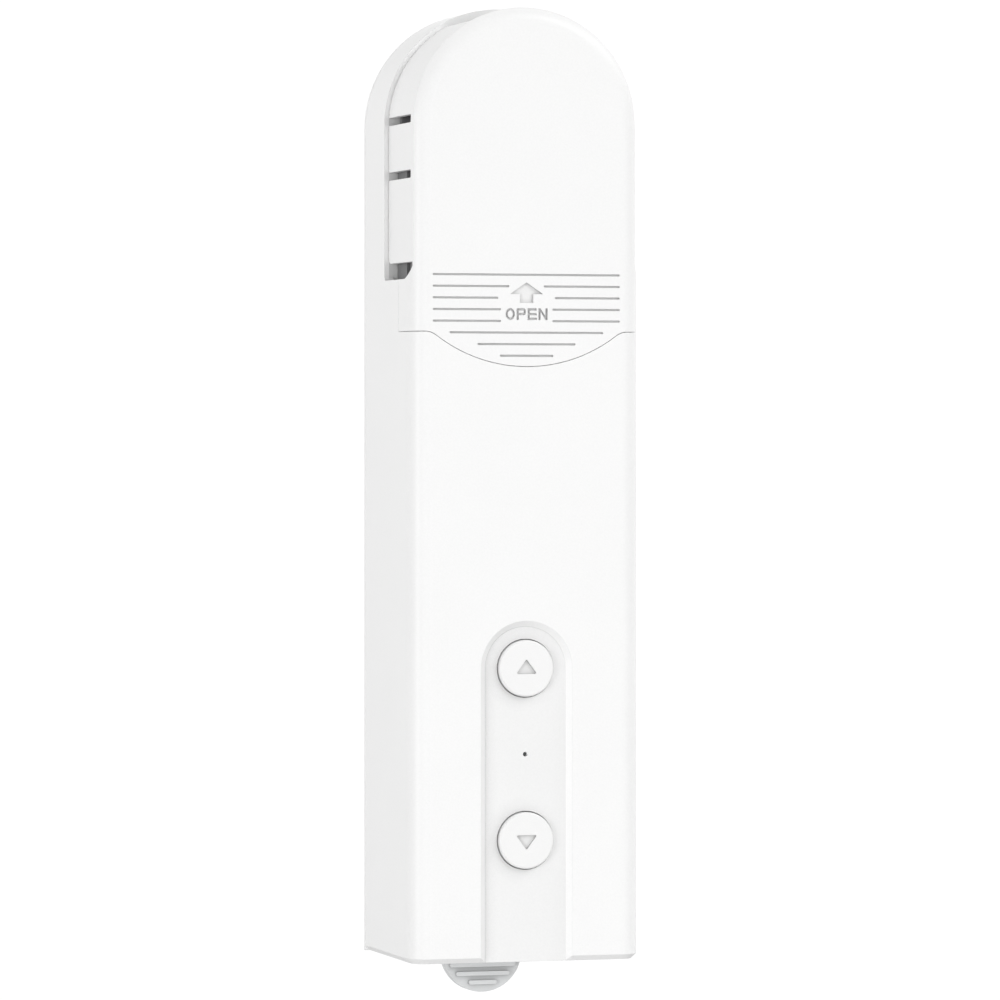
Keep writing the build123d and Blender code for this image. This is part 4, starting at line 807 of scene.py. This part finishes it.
def shrink_sleeve():
    """Glossy blue film, drawn tight along the cell, and the bare nickel of its ends."""
    end_radius, skin_width = 8.0 * MM, 0.1 * MM
    finish, tree, place = new_finish("shrink_sleeve")
    centred = place_node(
        tree, "ShaderNodeVectorMath", [(0, place), (1, (0, cell_y * MM, 0))],
        operation="SUBTRACT",
    ).outputs["Vector"]
    flat = place_node(
        tree, "ShaderNodeVectorMath", [(0, centred), (1, (1, 1, 0))], operation="MULTIPLY"
    ).outputs["Vector"]
    radius = place_node(
        tree, "ShaderNodeVectorMath", [(0, flat)], operation="LENGTH"
    ).outputs["Value"]
    bare = ramp(tree, radius, end_radius, end_radius - skin_width)
    drawn = clouds(tree, stretch(tree, place, (900, 900, 60)), 1.0)
    film = mixed(tree, drawn, (0.09, 0.27, 0.45, 1), (0.14, 0.36, 0.55, 1))
    tone = mixed(tree, bare, film, (0.7, 0.69, 0.66, 1))
    gloss = ramp(tree, drawn, 0.0, 1.0, 0.2, 0.36)
    bumps = relief(tree, drawn, 0.03 * MM, 0.5)
    return coat_over(finish, tint=tone, metal=bare, dullness=gloss, normal=bumps)


nickel_strip = worked_metal(
    "nickel_strip", (0.72, 0.71, 0.68), (0.52, 0.5, 0.44), roughness=0.26, way=(5200, 90, 90),
    depth=0.004 * MM,
)
pole_paper = moulded_plastic(
    "pole_paper", (0.72, 0.69, 0.6), roughness=0.8, grain=0.25 * MM, depth=0.02 * MM
)
dress(shrink_sleeve(), "battery_cell")
dress(nickel_strip, "battery_tabs")

pole_top = cell_high.z - 0.4
ring_outline = ((3.4, 0.0), (7.6, 0.0), (7.6, 0.16), (7.4, 0.2), (3.5, 0.2), (3.4, 0.16))
ring_steps = 48
ring = bmesh.new()
ring_loops = []
for step in range(ring_steps):
    turn = 2 * pi * step / ring_steps
    ring_loops.append([
        ring.verts.new((r * cos(turn) * MM, (cell_y + r * sin(turn)) * MM, (pole_top + h) * MM))
        for r, h in ring_outline
    ])
for step, loop in enumerate(ring_loops):
    following = ring_loops[(step + 1) % ring_steps]
    for corner in range(len(ring_outline)):
        upper = (corner + 1) % len(ring_outline)
        ring.faces.new((loop[corner], following[corner], following[upper], loop[upper]))
finish_piece("pole_ring", ring, "housing", pole_paper)

tab_low, tab_high = (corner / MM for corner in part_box("battery_tabs"))
weld_outline = [(0.62, 0), (0.58, 0.05), (0.4, 0.1), (0.24, 0.08), (0.08, 0.05)]
weld_x, weld_y = 1.3, 1.4
weld_sunk = 0.03
welds = bmesh.new()
for height, way in ((tab_high.z, 1), (tab_low.z, -1)):
    for y in (cell_y - weld_y, cell_y + weld_y):
        for x in (-weld_x, weld_x):
            add_turned(welds, (x, y, height - way * weld_sunk), (0, 0, way), weld_outline, 16)
finish_piece("spot_welds", welds, "housing", nickel_strip, smooth=True)


def cell_foam():
    """Closed-cell foam: a field of small round cells, with a painted highlight on their rims."""
    finish, tree, place = new_finish("cell_foam")
    cells = place_node(
        tree, "ShaderNodeTexVoronoi", [("Vector", place), ("Scale", 2800.0)]
    ).outputs["Distance"]
    tone = mixed(tree, cells, (0.05, 0.05, 0.055, 1), (0.2, 0.2, 0.21, 1))
    dull = ramp(tree, cells, 0.0, 1.0, 0.95, 0.75)
    bumps = relief(tree, cells, 0.08 * MM, 0.8)
    return coat_over(finish, tint=tone, dullness=dull, normal=bumps)


dress(cell_foam(), "battery_pad")


# Motor: a deep-drawn steel can closed by a black cap, screwed up under a nylon mount. Two wires,
# sleeved and soldered at the cap's tags, feed it from the board.
drawn_can = worked_metal(
    "drawn_can", (0.6, 0.6, 0.61), (0.44, 0.43, 0.42), roughness=0.3, way=(1500, 1500, 70),
    depth=0.006 * MM, edge_round=0.15,
)
ground_shaft = worked_metal(
    "ground_shaft", (0.64, 0.64, 0.65), (0.42, 0.41, 0.4), roughness=0.2, way=(60, 60, 6000),
    depth=0.003 * MM,
)
wire_cover = moulded_plastic(
    "wire_cover", (0.5, 0.05, 0.045), roughness=0.38, grain=0.2 * MM, depth=0.006 * MM
)
dress(drawn_can, "motor_can")
dress(stem_nylon, "motor_end_cap")
dress(ground_shaft, "motor_shaft")
dress(tin_sheet, "motor_terminals")
dress(wire_cover, "motor_leads")
dress(zinc_plate, "motor_screws", "mount_screws")
lead_low, lead_high = (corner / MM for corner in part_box("motor_leads"))
lead_radius = (lead_high.z - lead_low.z) / 2
lead_z = (lead_low.z + lead_high.z) / 2
sleeve_outline = [(0.7, 0), (0.84, 0.15), (0.82, 1.2), (0.86, 2.0), (0.78, 2.4), (0.66, 2.5)]
lead_fillet_outline = [(1.15, 0), (1.0, 0.1), (0.8, 0.3), (0.68, 0.6), (0.6, 0.75)]
sleeves = bmesh.new()
lead_solder = bmesh.new()
for x in (lead_low.x + lead_radius, lead_high.x - lead_radius):
    add_turned(sleeves, (x, lead_high.y - 0.1, lead_z), (0, -1, 0), sleeve_outline)
    add_turned(lead_solder, (x, board_back - 0.01, lead_z), (0, 1, 0), lead_fillet_outline)
finish_piece("lead_sleeves", sleeves, "housing", stem_nylon, smooth=True)
finish_piece("lead_solder", lead_solder, "housing", solder, smooth=True)


# Chain frame, gear plate and motor mount: three mouldings in grey glass-filled nylon, held by
# zinc-plated screws. Short glass fibres lie just under their skin. Their grey is partly painted
# shade: darker than the nylon's own tone, to stand for the shade seen inside the cover's slots.
# Partly painted shade: the nylon's grey is darkened for the shade behind the cover's slots.
frame_nylon = moulded_plastic(
    "frame_nylon", (0.15, 0.15, 0.153), roughness=0.48, grain=0.3 * MM, depth=0.02 * MM,
    scuffs=(700, 700, 2600),
)
dress(frame_nylon, "chain_frame", "gear_plate", "motor_mount")
dress(zinc_plate, "frame_screws", "gear_plate_screws")


# Gear train: a cut brass pinion, a white acetal spur gear on the steel worm's shaft, and an
# acetal worm wheel on the drive axle, which runs in oiled sintered bushes behind a spring clip.
cut_brass = worked_metal(
    "cut_brass", (0.76, 0.62, 0.32), (0.48, 0.34, 0.15), roughness=0.26, way=(900, 900, 5200),
    depth=0.005 * MM,
)
sintered_bronze = worked_metal(
    "sintered_bronze", (0.6, 0.42, 0.24), (0.3, 0.2, 0.12), roughness=0.4,
    way=(3800, 3800, 3800), depth=0.015 * MM,
)
hobbed_steel = worked_metal(
    "hobbed_steel", (0.6, 0.6, 0.61), (0.34, 0.32, 0.28), roughness=0.24, way=(80, 80, 4200),
    depth=0.005 * MM,
)
turned_axle = worked_metal(
    "turned_axle", (0.62, 0.62, 0.63), (0.42, 0.41, 0.4), roughness=0.24, way=(80, 5200, 80),
    depth=0.004 * MM,
)
gear_acetal = moulded_plastic(
    "gear_acetal", (0.86, 0.86, 0.82), roughness=0.32, grain=0.25 * MM, depth=0.01 * MM
)
dress(cut_brass, "motor_pinion")
dress(gear_acetal, "worm_spur_gear", "worm_wheel")
dress(hobbed_steel, "worm")
dress(turned_axle, "drive_axle")
dress(sintered_bronze, "axle_bush_front", "axle_bush_rear", "worm_bush_lower", "worm_bush_upper")
dress(blued_strip, "axle_clip")


# Chain sprocket: a white acetal wheel with a pocket for each ball, clamped on the axle by a
# zinc-plated screw. The chain polishes its pockets and scuffs its rims.
wheel_acetal = moulded_plastic(
    "wheel_acetal", (0.86, 0.86, 0.83), roughness=0.34, grain=0.3 * MM, depth=0.012 * MM,
    scuffs=(900, 90, 900),
)
dress(wheel_acetal, "sprocket")
dress(zinc_plate, "sprocket_screw")


# Top cover: slides down over the sprocket and closes the front. It is moulded like the housing,
# with the lines, the arrow and the word sunk into its face. The word is filled with grey paint,
# and painted shade greys the lines and the corners of the arrow.
cover_plastic = white_moulding("cover_plastic")
cover_tree = cover_plastic.node_tree
paint_grey = (0.62, 0.62, 0.62, 1)
marks_half, marks_foot, marks_top = 18.2 * MM, 22.5 * MM, 38.3 * MM
word_half, word_foot, word_top = 4.25 * MM, 29.4 * MM, 32.3 * MM
sunk_near = front_y + 0.1 * MM
sunk_far = front_y + 1.0 * MM
marks, word = (
    inside_box(cover_tree, (-half, sunk_near, foot), (half, sunk_far, top))
    for half, foot, top in (
        (marks_half, marks_foot, marks_top), (word_half, word_foot, word_top)
    )
)
# Painted shade: the sunk lines and the arrow are greyed most in their corners.
tint_over(cover_plastic, marks, painted_corner_shade(cover_tree, 0.8 * MM, 0.73, 0.95), "MULTIPLY")
tint_over(cover_plastic, word, paint_grey)
dress(cover_plastic, "top_cover")
